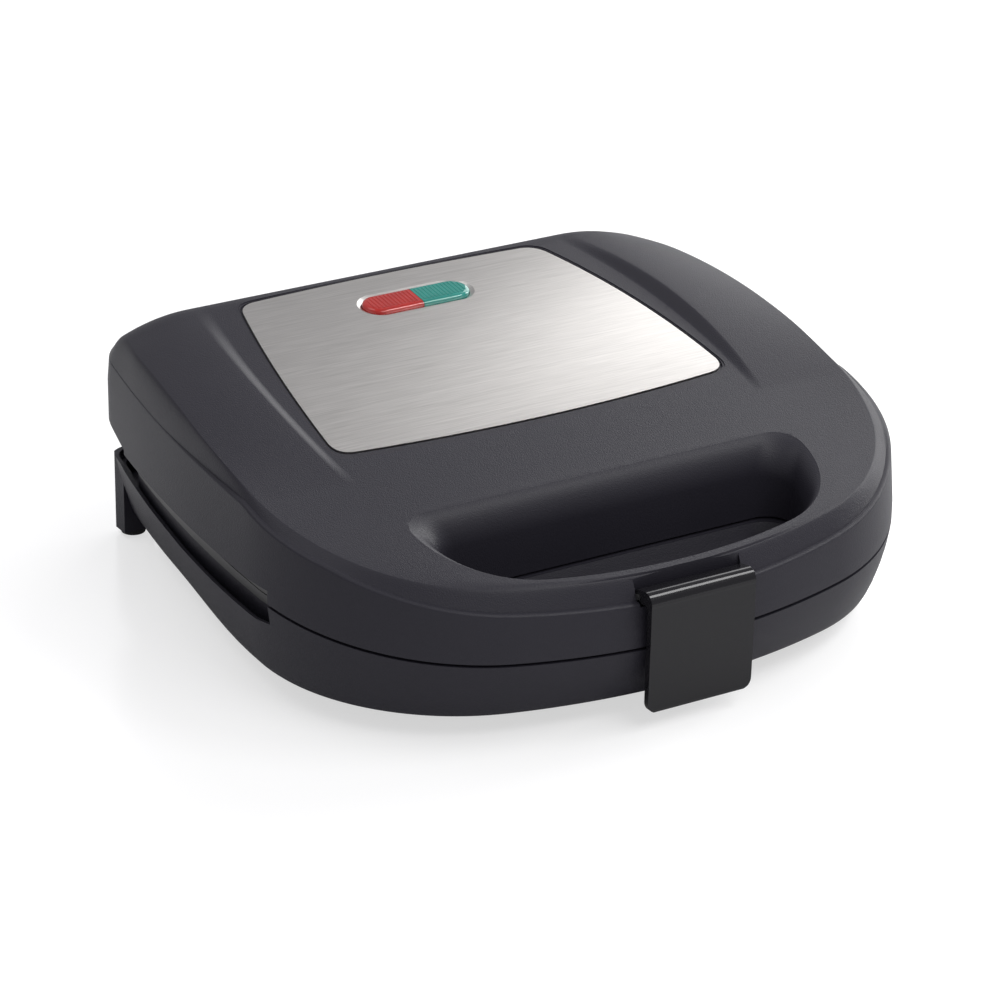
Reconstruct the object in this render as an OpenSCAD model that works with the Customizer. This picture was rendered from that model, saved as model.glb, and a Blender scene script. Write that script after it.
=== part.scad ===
// Sandwich toaster for two sandwiches: hinged lid, cooking plates, front latch.
// Millimetres. Front is -Y, up is +Z, the feet stand on Z = 0.

/* [Body outline] */
// Overall width of the housing
body_w = 230; // [226:1:234]
// Front edge of the housing
front_y = -108; // [-109:0.5:-107]
// Rear edge of the lid
rear_y = 112; // [111:0.5:113]
// Radius of the bowed front edge
front_r = 220.8; // [215:0.2:228]
// Radius of the front corners
corner_r = 75.3; // [73:0.1:78]
// Radius of the nearly straight sides
side_r = 690.8; // [650:0.2:730]
// Angle at which the side leaves the front corner
side_angle = 1.2; // [0.8:0.1:1.6]
// Radius of the lid's rear corners
rear_r = 26.2; // [25:0.1:28]
// Moulded wall thickness of lid and base
wall = 2.4; // [2.2:0.1:2.6]

/* [Heights] */
// Underside of the base tub above the table
base_z = 8; // [8:0.1:9]
// Height of the parting line at the front edge
parting_z = 26.8; // [26.5:0.1:27.2]
// Rise of the parting line towards the rear, per millimetre
parting_rise = 0.138; // [0.134:0.002:0.142]
// Width of the groove between lid and base
parting_gap = 1; // [0.8:0.1:1.2]
// Lower edge of the lid along the open sides
lid_side_z = 41.2; // [40.8:0.1:41.6]
// Place where the parting line steps up into the side slot
step_y = -40; // [-41:0.5:-39]
// Height of the lid surface where the panel begins
panel_front_z = 68; // [67.6:0.1:68.4]
// Slope of the grip surface in front of the panel, in degrees
grip_slope = 11.8; // [11.5:0.1:12]
// Radius of the gently bowed surface under the panel
bow_r = 824; // [780:1:900]
// Height of the shoulder crests above the panel plane 
crest_h = 2.8; // [2.4:0.1:3.2]

/* [Panel and lamps] */
// Half width of the steel panel at its rear corners
panel_rear_w = 57.8; // [56:0.2:59]
// Half width of the steel panel at its front corners
panel_front_w = 74.2; // [73:0.2:75]
// Rear edge of the steel panel
panel_rear_y = 84.6; // [83:0.2:85]
// Front edge of the steel panel
panel_front_y = -12.4; // [-13:0.2:-11]
// Thickness of the steel panel
panel_t = 0.9; // [0.8:0.05:1]
// Gap round the steel panel and round the lenses
reveal = 0.4; // [0.3:0.05:0.5]
// Length of the lamp window
window_w = 43.4; // [42:0.2:45]
// Width of the lamp window
window_d = 15.2; // [14:0.2:16]
// Place of the lamp window along Y
window_y = 66; // [65:0.5:67]

/* [Grip pocket] */
// Half width of the pocket at its rim
pocket_w = 73.5; // [72:0.5:74]
// Rear edge of the pocket rim
pocket_rear_y = -48.6; // [-49:0.2:-48]
// Front edge of the pocket rim
pocket_front_y = -99.6; // [-99.8:0.1:-99]
// Radius of the soft rim at the rear and the ends
rim_r = 7; // [5:0.5:7.5]
// Radius of the rim along the front
rim_front_r = 2.5; // [2:0.1:2.8]

/* [Plates] */
// Distance of the plate rims in from the body outline
plate_in = 6; // [5.6:0.1:6.4]
// Front edge of the plates
plate_front_y = -49; // [-49.5:0.1:-48.5]
// Thickness of the plate flange
flange_t = 3; // [2.6:0.1:3.2]
// Height of the plane where the two plates meet
seam_z = 34.45; // [34.3:0.05:34.6]
// Gap left between the closed plates
seam_gap = 0.3; // [0.3:0.05:0.4]
// Depth of the sandwich wells
well_h = 9.4; // [9:0.1:9.6]
// Thickness of the plate under the wells
web_t = 2.4; // [2.2:0.1:2.6]
// Diameter of the heating tube
tube_d = 6.5; // [6:0.1:6.6]

/* [Hinge] */
// Hinge axis along Y
hinge_y = 104; // [103.8:0.1:104.2]
// Hinge axis height
hinge_z = 36.5; // [36.3:0.1:36.7]
// Radius of the hinge pins
hinge_pin_r = 2; // [1.8:0.1:2.2]
// Radius of the hinge knuckles
knuckle_r = 6; // [5.6:0.1:6.2]
// Middle of each hinge across the body
hinge_x = 63; // [62:0.5:64]
// Running clearance of a turning bore, on the radius
running_gap = 0.05; // [0.03:0.01:0.08]

/* [Latch] */
// Half width of the latch
latch_w = 19.2; // [18.6:0.1:19.4]
// Latch axis along Y
latch_y = -104.2; // [-104.4:0.1:-104]
// Latch axis height
latch_z = 43.4; // [43.2:0.1:43.6]
// Radius of the latch barrel
barrel_r = 2.4; // [2.3:0.05:2.45]
// Radius of the latch pin
latch_pin_r = 1; // [0.9:0.05:1.1]
// Thickness of the latch plate
latch_t = 2.2; // [2:0.1:2.3]
// Lower end of the latch
latch_low_z = 5.6; // [5:0.2:7]
// Gap between the latch and the sides of its recess
latch_gap = 0.35; // [0.3:0.05:0.5]

/* [Hidden] */
c_shell = [0.2, 0.2, 0.22];
c_gloss = [0.1, 0.1, 0.11];
c_steel = [0.78, 0.77, 0.75];
c_plate = [0.28, 0.27, 0.27];
c_metal = [0.62, 0.62, 0.6];
c_rubber = [0.12, 0.12, 0.12];
c_red = [0.75, 0.16, 0.12];
c_green = [0.2, 0.6, 0.55];
c_glass = [0.85, 0.7, 0.6];
c_white = [0.85, 0.84, 0.8];
seat = 0.3;
over = 0.6;
half_w = body_w / 2;
overall_front = -112;
screw_r = 1.25;
screw_head_r = 2.6;
screw_head_h = 1.4;
screw_hole_r = 1.45;
screws = [[-52, -45.8], [52, -45.8], [-52, 88], [52, 88]];

// ---- small helpers ----
function mix(a, b, t) = a + (b - a) * t;
function clamp1(t) = t < 0 ? 0 : t > 1 ? 1 : t;
function smooth(t) = clamp1(t) * clamp1(t) * (3 - 2 * clamp1(t));
function softmin(a, b, k) = min(a, b) - k * ln(1 + exp(-abs(a - b) / k));
function flat(l) = [for (a = l) each a];
function polar(c, r, a) = [c[0] + r * cos(a), c[1] + r * sin(a)];
function mirrored(h) = concat([for (i = [len(h) - 1:-1:0]) h[i]], [for (i = [1:len(h) - 2]) [-h[i][0], h[i][1]]]);

// ---- body outline: four tangent arcs, every inset shares their centres ----
front_c = [0, front_y + front_r];
corner_c = [half_w - corner_r, front_c[1] - sqrt(pow(front_r - corner_r, 2) - pow(half_w - corner_r, 2))];
side_c = polar(corner_c, corner_r - side_r, side_angle);
front_a = atan2(corner_c[1] - front_c[1], corner_c[0] - front_c[0]);
function rear_c(ry, rr) =
    [side_c[0] + sqrt(pow(side_r - rr, 2) - pow(ry - rr - side_c[1], 2)), ry - rr];
function rear_a(ry, rr) = atan2(ry - rr - side_c[1], rear_c(ry, rr)[0] - side_c[0]);
// half of the outline, from the rear middle to the front middle
function half_ring(d, xs, n, ry = rear_y, rr = rear_r) = let (b = rear_c(ry, rr), a = rear_a(ry, rr)) concat(
    [for (x = xs) [x, ry - d]],
    [for (i = [0:n[0] - 1]) polar(b, rr - d, mix(90, a, i / n[0]))],
    [for (i = [0:n[1] - 1]) polar(side_c, side_r - d, mix(a, side_angle, i / n[1]))],
    [for (i = [0:n[2] - 1]) polar(corner_c, corner_r - d, mix(side_angle, front_a, i / n[2]))],
    [for (i = [0:n[3]]) polar(front_c, front_r - d, mix(front_a, -90, i / n[3]))]);
function outline(d, ry = rear_y, rr = rear_r) = mirrored(half_ring(d, [0], [6, 6, 9, 6], ry, rr));

module skin(rings) {
    n = len(rings[0]);
    m = len(rings);
    polyhedron(points = flat(rings), faces = concat(
        [[for (i = [0:n - 1]) i]],
        [for (k = [0:m - 2]) for (i = [0:n - 1]) [k * n + i, (k + 1) * n + i, (k + 1) * n + (i + 1) % n]],
        [for (k = [0:m - 2]) for (i = [0:n - 1]) [k * n + i, (k + 1) * n + (i + 1) % n, k * n + (i + 1) % n]],
        [[for (i = [n - 1:-1:0]) (m - 1) * n + i]]), convexity = 6);
}

// ---- lid surface ----
cap_in = 6.6;
cap_side_in = 2.6;
cap_rear_in = 5.4;
wall_lean = 1.1;
crease_in = 3;
drop_y = 85.5;
drop_k = 0.9;
drop_soft = 10;
bow_c = [panel_front_y + bow_r * sin(grip_slope), panel_front_z - bow_r * cos(grip_slope)];
function parting(y) = parting_z + parting_rise * (y - front_y);
function crease_h(y) = softmin(40.2 + 0.33 * (y - front_y), 64.6 + 0.028 * y, 1.2);
function panel_bow(y) = bow_c[1] + sqrt(bow_r * bow_r - pow(y - bow_c[0], 2));
function rear_drop(y) = y < drop_y ? 0 : drop_k * (sqrt(pow(y - drop_y, 2) + drop_soft * drop_soft) - drop_soft);
function spine(y) = y < panel_front_y ? panel_front_z + tan(grip_slope) * (y - panel_front_y) : panel_bow(y) - rear_drop(y);
function crest_x(y) = 81.8 - 0.00155 * pow(y - 16, 2);
function crest_rise(y) = crest_h * sin(180 * clamp1((y + 27) / 119));
function edge_rise(y) = max(-6, 1.1 + 0.018 * min(0, y) - 0.00115 * pow(max(0, y - 18), 2));
function crest_col(y, hw) = min(crest_x(y), 0.86 * hw);
function foot_col(y, hw) = crest_col(y, hw) - mix(4, 6.5, clamp1((y + 27) / 100)) * min(1, hw / 90);
function top_surface(x, y, hw) = let (ax = abs(x), c = crest_col(y, hw), f = foot_col(y, hw), d = crest_rise(y), e = edge_rise(y))
    spine(y) + (ax <= f ? 0 : ax <= c ? d * smooth((ax - f) / (c - f)) : mix(d, e, pow((ax - c) / max(0.01, hw - c), 2)));
function columns(y, hw) = let (c = crest_col(y, hw), f = foot_col(y, hw))
    [0, 0.5 * f, f, mix(f, c, 0.35), mix(f, c, 0.7), c, mix(c, hw, 0.3), mix(c, hw, 0.62), hw];
lid_n = [7, 8, 10, 6];
col_n = 8;
band_steps = [14, 30, 46, 62, 77];
super_n = 2.3;

// how far in from the outline the top surface begins: soft at the front and the rear, tight along the sides
function cap_inset(y) = mix(mix(cap_in, cap_side_in, smooth((y + 56) / 70)), cap_rear_in, smooth((y - 66) / 28));
// the lid as a closed solid; t moves every face inward by that much
module lid_solid(t = 0) {
    hwr = rear_c(rear_y, rear_r)[0];
    cols = columns(rear_y - cap_rear_in - t, hwr);
    xs = [for (i = [0:col_n - 1]) cols[i]];
    out = half_ring(t, xs, lid_n);
    lean = half_ring(crease_in + t, xs, lid_n);
    cre = [for (i = [0:len(out) - 1]) let (y = out[i][1]) mix(out[i], lean[i], mix(1, 0.27, smooth((y + 30) / 80)))];
    wide = half_ring(cap_in + t, xs, lid_n);
    cap = [for (i = [0:len(out) - 1]) mix(out[i], wide[i], cap_inset(out[i][1]) / cap_in)];
    steep = [for (i = [0:len(out) - 1]) mix(out[i], wide[i], wall_lean / cap_in * smooth((20 - out[i][1]) / 50))];
    n = len(cap) - 1;
    cap_z = [for (i = [0:n]) top_surface(cap[i][0], cap[i][1], i < col_n ? hwr : cap[i][0]) - t];
    cre_z = [for (i = [0:n]) min(crease_h(cre[i][1]) + 0.5, cap_z[i] + t - 2) - t];
    // slope of the top where the edge band meets it, per millimetre inward
    run = [for (i = [0:n]) let (x = cap[i][0], y = cap[i][1], far = norm(out[i] - cap[i]), nx = (out[i][0] - x) / far, ny = (out[i][1] - y) / far,
        hw = i < col_n ? hwr : x, c = crest_col(y, hw))
        (spine(y - 0.5) - spine(y + 0.5)) * ny + 2 * (crest_rise(y) - edge_rise(y)) / max(8, hw - c) * nx];
    halves = concat(
        [[for (p = out) [p[0], p[1], 20 - t * 2]]],
        [[for (i = [0:n]) [out[i][0], out[i][1], min(parting(out[i][1]) + 5, cre_z[i] - 4)]]],
        [[for (i = [0:n]) [steep[i][0], steep[i][1], cre_z[i] - 0.7]]],
        [[for (i = [0:n]) [cre[i][0], cre[i][1], cre_z[i]]]],
        [for (a = band_steps) let (u = 1 - pow(cos(a), 2 / super_n), w = pow(sin(a), 2 / super_n))
            [for (i = [0:n]) let (p = mix(cre[i], cap[i], u))
                [p[0], p[1], mix(cre_z[i], max(cre_z[i] + 0.6, cap_z[i] - run[i] * norm(cap[i] - p)), w)]]],
        [[for (i = [0:n]) [cap[i][0], cap[i][1], cap_z[i]]]]);
    rings = [for (h = halves) concat([for (i = [n:-1:0]) h[i]], [for (i = [1:n - 1]) [-h[i][0], h[i][1], h[i][2]]])];
    m = len(rings);
    rn = 2 * n;
    inner = [for (j = [col_n + 1:n - 1]) let (y = cap[j][1], hw = cap[j][0], c = columns(y, hw))
        for (k = [1 - col_n:col_n - 1]) let (x = sign(k) * c[abs(k)]) [x, y, top_surface(x, y, hw) - t]];
    b = (m - 1) * rn;
    function vid(j, k) = j == n ? b : j == col_n ? (k >= 0 ? b + n - k : b + n - k)
        : abs(k) == col_n ? (k > 0 ? b + n - j : b + n + j) : m * rn + (j - col_n - 1) * (2 * col_n - 1) + k + col_n - 1;
    polyhedron(points = concat(flat(rings), inner), faces = concat(
        [[for (i = [0:rn - 1]) i]],
        [for (k = [0:m - 2]) for (i = [0:rn - 1]) [k * rn + i, (k + 1) * rn + i, (k + 1) * rn + (i + 1) % rn]],
        [for (k = [0:m - 2]) for (i = [0:rn - 1]) [k * rn + i, (k + 1) * rn + (i + 1) % rn, k * rn + (i + 1) % rn]],
        [for (j = [col_n:n - 2]) for (k = [-col_n:col_n - 1]) [vid(j, k), vid(j, k + 1), vid(j + 1, k + 1)]],
        [for (j = [col_n:n - 2]) for (k = [-col_n:col_n - 1]) [vid(j, k), vid(j + 1, k + 1), vid(j + 1, k)]],
        [for (k = [-col_n:col_n - 1]) [vid(n - 1, k), vid(n - 1, k + 1), vid(n, 0)]]), convexity = 8);
}

// ---- shared flat shapes ----
module body2d(d, ry = rear_y, rr = rear_r) polygon(outline(d, ry, rr));
plate_ry = 98;
plate_rr = 22;
// plate outline, d moves every edge inward
module plate2d(d) intersection() {
    polygon(outline(plate_in + d, plate_ry, plate_rr));
    translate([-half_w, plate_front_y + d]) square([body_w, 200]);
}
module rrect(w, d, r) polygon(flat([for (q = [[1, 1, 0], [-1, 1, 90], [-1, -1, 180], [1, -1, 270]])
    [for (i = [0:4]) [q[0] * (w / 2 - r) + r * cos(q[2] + i * 22.5), q[1] * (d / 2 - r) + r * sin(q[2] + i * 22.5)]]]));
module stadium(w, d) polygon(concat([for (i = [0:10]) [(w - d) / 2 + d / 2 * cos(-90 + i * 18), d / 2 * sin(-90 + i * 18)]],
    [for (i = [0:10]) [-(w - d) / 2 + d / 2 * cos(90 + i * 18), d / 2 * sin(90 + i * 18)]]));
// a bar along X with the given profile in the YZ plane
module along_x(x0, x1) translate([x0, 0, 0]) rotate([90, 0, 90]) linear_extrude(x1 - x0) children();
module rod_x(y, z, r, x0, x1, fn = 32) translate([x0, y, z]) rotate([0, 90, 0]) cylinder(r = r, h = x1 - x0, $fn = fn);
// everything on the far side of a plane parallel to the parting plane
parting_a = atan(parting_rise);
module parting_sheet(dz, t) parting_frame(dz) linear_extrude(t) scale([1, 1 / cos(parting_a)]) translate([0, -front_y]) children();
module parting_frame(dz) translate([0, front_y, parting_z + dz]) rotate([parting_a, 0, 0]) children();
function bow_slope(y) = asin((bow_c[0] - y) / bow_r);
module on_bow(y, dz = 0) translate([0, y, panel_bow(y)]) rotate([bow_slope(y), 0, 0]) translate([0, 0, dz]) children();
// solid between two bowed surfaces, measured down from the lid surface
module bowed(lo, hi) along_x(-100, 100) difference() {
    translate(bow_c) circle(r = bow_r - hi, $fn = 720);
    translate(bow_c) circle(r = bow_r - lo, $fn = 720);
    translate([-bow_r * 2, -bow_r * 2]) square([bow_r * 4, bow_r * 2 + 20]);
    translate([-bow_r * 2, 0]) square([bow_r * 2 - 30, bow_r]);
    translate([100, 0]) square([bow_r * 2, bow_r]);
}

// ---- panel outline with bowed edges and rounded corners ----
function panel_pts(o) = let (
    c = [[panel_front_w + o, panel_front_y - o], [panel_rear_w + o, panel_rear_y + o],
         [-panel_rear_w - o, panel_rear_y + o], [-panel_front_w - o, panel_front_y - o]],
    bow = [2.6, 1.8, 2.6, 3.8], out = [[1, 0.17], [0, 1], [-1, 0.17], [0, -1]],
    edge = function (k, t) c[k] + (c[(k + 1) % 4] - c[k]) * t + out[k] * bow[k] * 4 * t * (1 - t),
    cut = [0.075, 0.06, 0.075, 0.05])
    flat([for (k = [0:3]) let (p = (k + 3) % 4, e0 = edge(p, 1 - cut[p]), e1 = edge(k, cut[k]), q = c[k] + (out[k] + out[p]) * 0.35)
        concat([for (i = [0:4]) let (t = i / 5) e0 * (1 - t) * (1 - t) + q * 2 * t * (1 - t) + e1 * t * t],
            [for (i = [0:7]) edge(k, mix(cut[k], 1 - cut[k], i / 8))])]);

// ---- grip pocket: rings of a funnel with a soft rim ----
pocket_cr = 38;
// ring: w half width, ry and fy rear and front edge, cr front corners, fr front arc;
// a, b, c are the insets at the rear, the ends and the front
function funnel(w, ry, fy, cr, fr, a, b, c) = let (
    cx = w - cr, cy = fy + fr - sqrt(pow(fr - cr, 2) - cx * cx), an = atan2(cy - fy - fr, cx), rr = ry - cy) concat(
    [for (x = [0, 20, 0.6 * w]) [x, ry - a]],
    [for (i = [0:5]) let (t = i / 6) polar([w - rr, cy], rr - mix(a, b, t), 90 - 90 * t)],
    [for (i = [0:8]) let (t = i / 9) polar([cx, cy], cr - mix(b, c, smooth(t)), an * t)],
    [for (i = [0:5]) polar([0, fy + fr], fr - c, mix(an, -90, i / 5))]);
function pocket_level(a, b, c, f) =
    [for (p = mirrored(funnel(pocket_w, pocket_rear_y, pocket_front_y, pocket_cr, 180, a, b, c))) [p[0], p[1], f(p[1])]];
// t thickens the funnel outward into its wall, low sets its lower end from the parting line
module pocket(t, low) skin(concat(
    [pocket_level(rim_r + 1.2 - t, rim_r - 0.6 - t, rim_front_r + 0.6 - t, function (y) parting(y) + low)],
    [for (q = [[90, 1], [62, 1], [36, 1], [12, 1]]) let (u = sin(q[0]), v = 1 - cos(q[0]))
        pocket_level(rim_r * u - t, rim_r * u - t, rim_front_r * u - t,
            function (y) spine(y) - v * mix(rim_front_r, rim_r, smooth((y - pocket_front_y) / 12)) - t * 0.8)],
    [pocket_level(-2.4 - t, -2.4 - t, -2.4 - t, function (y) spine(y) + 2.4)]));

// ---- lid ----
swing_room = 0.6;
trough_z = latch_z - barrel_r - 2.4;
lug_w = 3;
ear_w = 4;
inner_z = seam_z + seam_gap / 2 + flange_t + seat;
module lid_rim() difference() {
    translate([0, 0, inner_z]) linear_extrude(52 - inner_z) plate2d(0.3);
    translate([0, 0, inner_z - 1]) linear_extrude(60) plate2d(0.3 + wall - 0.4);
}
up_z = seam_z + seam_gap / 2;
up_boss_z = up_z + flange_t;
module lid_bosses() for (p = screws) difference() {
    translate([p[0], p[1], up_boss_z]) cylinder(r = 4, h = 60, $fn = 32);
    translate([p[0], p[1], up_boss_z - 1]) cylinder(r = screw_r, h = 13, $fn = 24);
    tub_space(seat);
}
cover_t = 2.2;
cover_posts = [[-84, -62], [84, -62], [-62, -97], [62, -97]];
module lid_cover_posts() difference() {
    for (p = cover_posts) translate([p[0], p[1], 20]) cylinder(r = 3.4, h = 60, $fn = 28);
    parting_frame(parting_gap / 2 + cover_t - 80) translate([-150, -50, 0]) cube([300, 300, 80]);
}
module hinge_lugs() for (s = [-1, 1]) {
    rod_x(hinge_y, hinge_z, knuckle_r, s * hinge_x - lug_w, s * hinge_x + lug_w, 48);
    along_x(s * hinge_x - lug_w, s * hinge_x + lug_w) polygon([[hinge_y - knuckle_r, hinge_z], [hinge_y + knuckle_r, hinge_z],
        [rear_y - 0.8, lid_side_z + 6.5], [rear_y - 0.8, 62], [hinge_y - knuckle_r - 4, 62]]);
}
module lid_shell() color(c_shell) difference() {
    union() {
        difference() {
            lid_solid(0);
            lid_solid(wall);
            // parting line in front, open sides and rear behind the step
            along_x(-150, 150) polygon([[-130, 0], [-130, parting(-130) + parting_gap / 2], [step_y, parting(step_y) + parting_gap / 2],
                [step_y, lid_side_z], [76.5, lid_side_z], [76.5, lid_side_z + 1.6], [94, 46], [120, 46.4], [120, 0]]);
        }
        intersection() {
            lid_solid(0.4);
            union() {
                pocket(wall, parting_gap / 2);
                lid_rim();
                lid_bosses();
                lid_cover_posts();
                // pad under the panel and seat of the lamps
                intersection() {
                    bowed(wall + 1.6, 1);
                    linear_extrude(120) polygon(panel_pts(2.4));
                }
                // housing of the latch pin
                along_x(-24, 24) translate([front_y + wall - 0.4, trough_z]) square([pocket_front_y - front_y - wall + 2, 60 - trough_z]);
                hinge_lugs();
            }
        }
    }
    pocket(0, -8);
    for (p = screws) translate([p[0], p[1], up_boss_z - 1]) cylinder(r = screw_r, h = 13, $fn = 24);
    // recess of the panel
    intersection() {
        bowed(panel_t + 0.1, -8);
        linear_extrude(120) polygon(panel_pts(reveal));
    }
    // lamp window
    on_bow(window_y, -12) linear_extrude(30) stadium(window_w, window_d);
    // recess, trough and bore of the latch
    along_x(-latch_w - latch_gap, latch_w + latch_gap) {
        polygon([[-120, latch_z - barrel_r - 0.4], [latch_y - 0.7, latch_z - barrel_r - 0.4], [latch_y - 0.4, latch_z + 0.1],
            [latch_y + barrel_r + swing_room, latch_z + 0.1], [latch_y + barrel_r + swing_room, 70], [-120, 70]]);
    }
    rod_x(latch_y, latch_z, barrel_r + seat, -latch_w - latch_gap, latch_w + latch_gap, 48);
    rod_x(latch_y, latch_z, latch_pin_r, -23, 23, 24);
    for (s = [-1, 1]) rod_x(hinge_y, hinge_z, hinge_pin_r + running_gap, s * hinge_x - lug_w - 1, s * hinge_x + lug_w + 1, 32);
}
module lid_grip_cover() color(c_shell) difference() {
    parting_sheet(parting_gap / 2, cover_t) difference() {
        body2d(wall + 0.5);
        translate([-150, plate_front_y - 3.4]) square([300, 200]);
        translate([-62, pocket_rear_y - 6]) square([124, 40]);
    }
    pocket(wall + 0.3, -8);
    parting_frame(-10) translate([-latch_w, -4, 0]) cube([2 * latch_w, 4.2, 8]);
}
module steel_panel() color(c_steel) difference() {
    intersection() {
        bowed(panel_t + 0.1, 0.1);
        linear_extrude(120) polygon(panel_pts(0));
    }
    on_bow(window_y, -12) linear_extrude(30) stadium(window_w, window_d);
}

// ---- lamps ----
lens_foot = wall + 1.6;
module lens(s) {
    // s = -1 left, 1 right
    intersection() {
        union() {
            on_bow(window_y, -lens_foot - 1) linear_extrude(lens_foot + 1.3) stadium(window_w - 2 * reveal, window_d - 2 * reveal);
            on_bow(window_y, 0.29) linear_extrude(0.5) stadium(window_w - 2 * reveal - 1.6, window_d - 2 * reveal - 1.6);
            on_bow(window_y, -lens_foot - 1.2) linear_extrude(1.05) stadium(window_w + 3, window_d + 3);
            for (i = [0:8]) on_bow(window_y, 0.7) translate([s * (1.7 + i * 1.9) - 0.45, -window_d / 2 + 2.6, 0]) cube([0.9, window_d - 5.2, 0.45]);
        }
        translate([s > 0 ? 0.1 : -60.1, 0, 40]) cube([60, 120, 80]);
    }
}
module power_lens() color(c_red) lens(-1);
module ready_lens() color(c_green) lens(1);
holder_h = 11;
lamp_r = 3;
module lamp_holder() color(c_white) on_bow(window_y, -lens_foot - 1.2 - holder_h) difference() {
    linear_extrude(holder_h) stadium(window_w + 3, window_d + 3);
    translate([0, 0, 2]) linear_extrude(holder_h) stadium(window_w - 2, window_d - 2);
    for (s = [-1, 1]) translate([s * 10.5 - 8, 0, 2 + lamp_r]) rotate([0, 90, 0]) cylinder(r = lamp_r, h = 16, $fn = 28);
}
module neon_lamps() color(c_glass) on_bow(window_y, -lens_foot - 1.2 - holder_h) for (s = [-1, 1])
    translate([s * 10.5 - 6.5, 0, 2 + lamp_r]) rotate([0, 90, 0]) cylinder(r = lamp_r, h = 13, $fn = 28);

// ---- plates: the same casting, the upper one is the lower one turned over ----
well_y0 = -41;
well_y1 = 82;
tub_in = 98.6;
tub_wall = 2;
module tub_space(c) translate([-tub_in - c, well_y0 - tub_wall - c, 0]) cube([2 * (tub_in + c), well_y1 - well_y0 + 2 * (tub_wall + c), 80]);
rail_h = tube_d / 2;
module well2d(k) {
    // two triangles leave a diagonal ridge
    x0 = 5;
    x1 = 96;
    y0 = well_y0;
    y1 = well_y1;
    g = 3.2;
    if (k == 0) polygon([[x0, y0 + 4], [x0 + 4, y0], [x1 - 11 - g, y0], [x0, y1 - 14 - g]]);
    if (k == 1) polygon([[x1 - 3, y0 + 8 + g], [x1, y0 + 16], [x1 - 4, y1 - 18], [x1 - 22, y1], [x0 + 4, y1], [x0 + 1, y1 - 6 + g]]);
}
loop_w = 150;
loop_d = 78;
loop_r = 16;
loop_y = 20;
module loop2d(w) difference() {
    translate([0, loop_y]) rrect(loop_w + w, loop_d + w, loop_r + w / 2);
    translate([0, loop_y]) rrect(loop_w - w, loop_d - w, loop_r - w / 2);
}
// one casting with its seam face on Z = 0 and the wells below it
module plate() difference() {
    union() {
        translate([0, 0, -flange_t]) linear_extrude(flange_t) plate2d(0);
        translate([0, 0, -well_h - web_t]) linear_extrude(well_h + web_t - 0.5) intersection() {
            plate2d(3);
            translate([-tub_in, well_y0 - tub_wall]) square([2 * tub_in, well_y1 - well_y0 + 2 * tub_wall]);
        }
        translate([0, 0, -well_h - web_t - rail_h]) linear_extrude(rail_h + 0.5) loop2d(11);
    }
    for (s = [0, 1]) mirror([s, 0, 0]) for (k = [0, 1]) translate([0, 0, -well_h]) linear_extrude(well_h + 1) well2d(k);
    // the ridges lie lower than the rim
    for (s = [0, 1]) mirror([s, 0, 0]) translate([0, 0, -3.4]) linear_extrude(5)
        polygon([[5, well_y0 + 4], [9, well_y0], [88, well_y0], [96, well_y0 + 16], [92, well_y1 - 18], [74, well_y1], [9, well_y1], [5, well_y1 - 6]]);
    for (p = screws) {
        translate([p[0], p[1], -flange_t - 1]) cylinder(r = screw_hole_r, h = 9, $fn = 24);
        translate([p[0], p[1], -screw_head_h - 0.2]) cylinder(r = screw_head_r + 0.1, h = 3, $fn = 28);
    }
    tube_path(tube_d / 2, true);
}
// heating tube: a rounded loop, open at the rear, seated in the rails
module tube_path(r, cut = false) translate([0, loop_y, -well_h - web_t - rail_h]) {
    hx = loop_w / 2 - loop_r;
    hy = loop_d / 2 - loop_r;
    for (q = [[1, 1, 0], [-1, 1, 90], [-1, -1, 180], [1, -1, 270]]) translate([q[0] * hx, q[1] * hy, 0]) rotate([0, 0, q[2]])
        rotate_extrude(angle = 90, $fn = 48) translate([loop_r, 0]) circle(r = r, $fn = 24);
    for (s = [-1, 1]) translate([s * (hx + loop_r), -hy, 0]) rotate([-90, 0, 0]) cylinder(r = r, h = 2 * hy, $fn = 24);
    translate([-hx, -hy - loop_r, 0]) rotate([0, 90, 0]) cylinder(r = r, h = 2 * hx, $fn = 24);
    for (s = [-1, 1]) translate([s > 0 ? 16 : -hx, hy + loop_r, 0]) rotate([0, 90, 0]) cylinder(r = r, h = hx - 16, $fn = 24);
    if (cut) translate([-hx, hy + loop_r, 0]) rotate([0, 90, 0]) cylinder(r = r, h = 2 * hx, $fn = 24);
    else for (s = [-1, 1]) translate([s > 0 ? 9 : -17, hy + loop_r, 0]) rotate([0, 90, 0]) cylinder(r = 1.4, h = 8, $fn = 16);
}
low_z = seam_z - seam_gap / 2;
module lower_pose() translate([0, 0, low_z]) children();
module upper_pose() translate([0, 0, up_z]) mirror([0, 0, 1]) children();
module lower_plate() color(c_plate) lower_pose() plate();
module upper_plate() color(c_plate) upper_pose() plate();
module lower_element() color(c_metal) lower_pose() tube_path(tube_d / 2);
module upper_element() color(c_metal) upper_pose() tube_path(tube_d / 2);
module plate_screws(h) for (p = screws) translate([p[0], p[1], 0]) {
    translate([0, 0, -screw_head_h - 0.2]) difference() {
        cylinder(r = screw_head_r, h = screw_head_h, $fn = 28);
        translate([-0.4, -2.2, screw_head_h - 0.6]) cube([0.8, 4.4, 1]);
        translate([-2.2, -0.4, screw_head_h - 0.6]) cube([4.4, 0.8, 1]);
    }
    translate([0, 0, -h]) cylinder(r = screw_r, h = h - screw_head_h - 0.1, $fn = 24);
}
module lower_plate_screws() color(c_metal) lower_pose() plate_screws(11);
module upper_plate_screws() color(c_metal) upper_pose() plate_screws(11);

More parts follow.
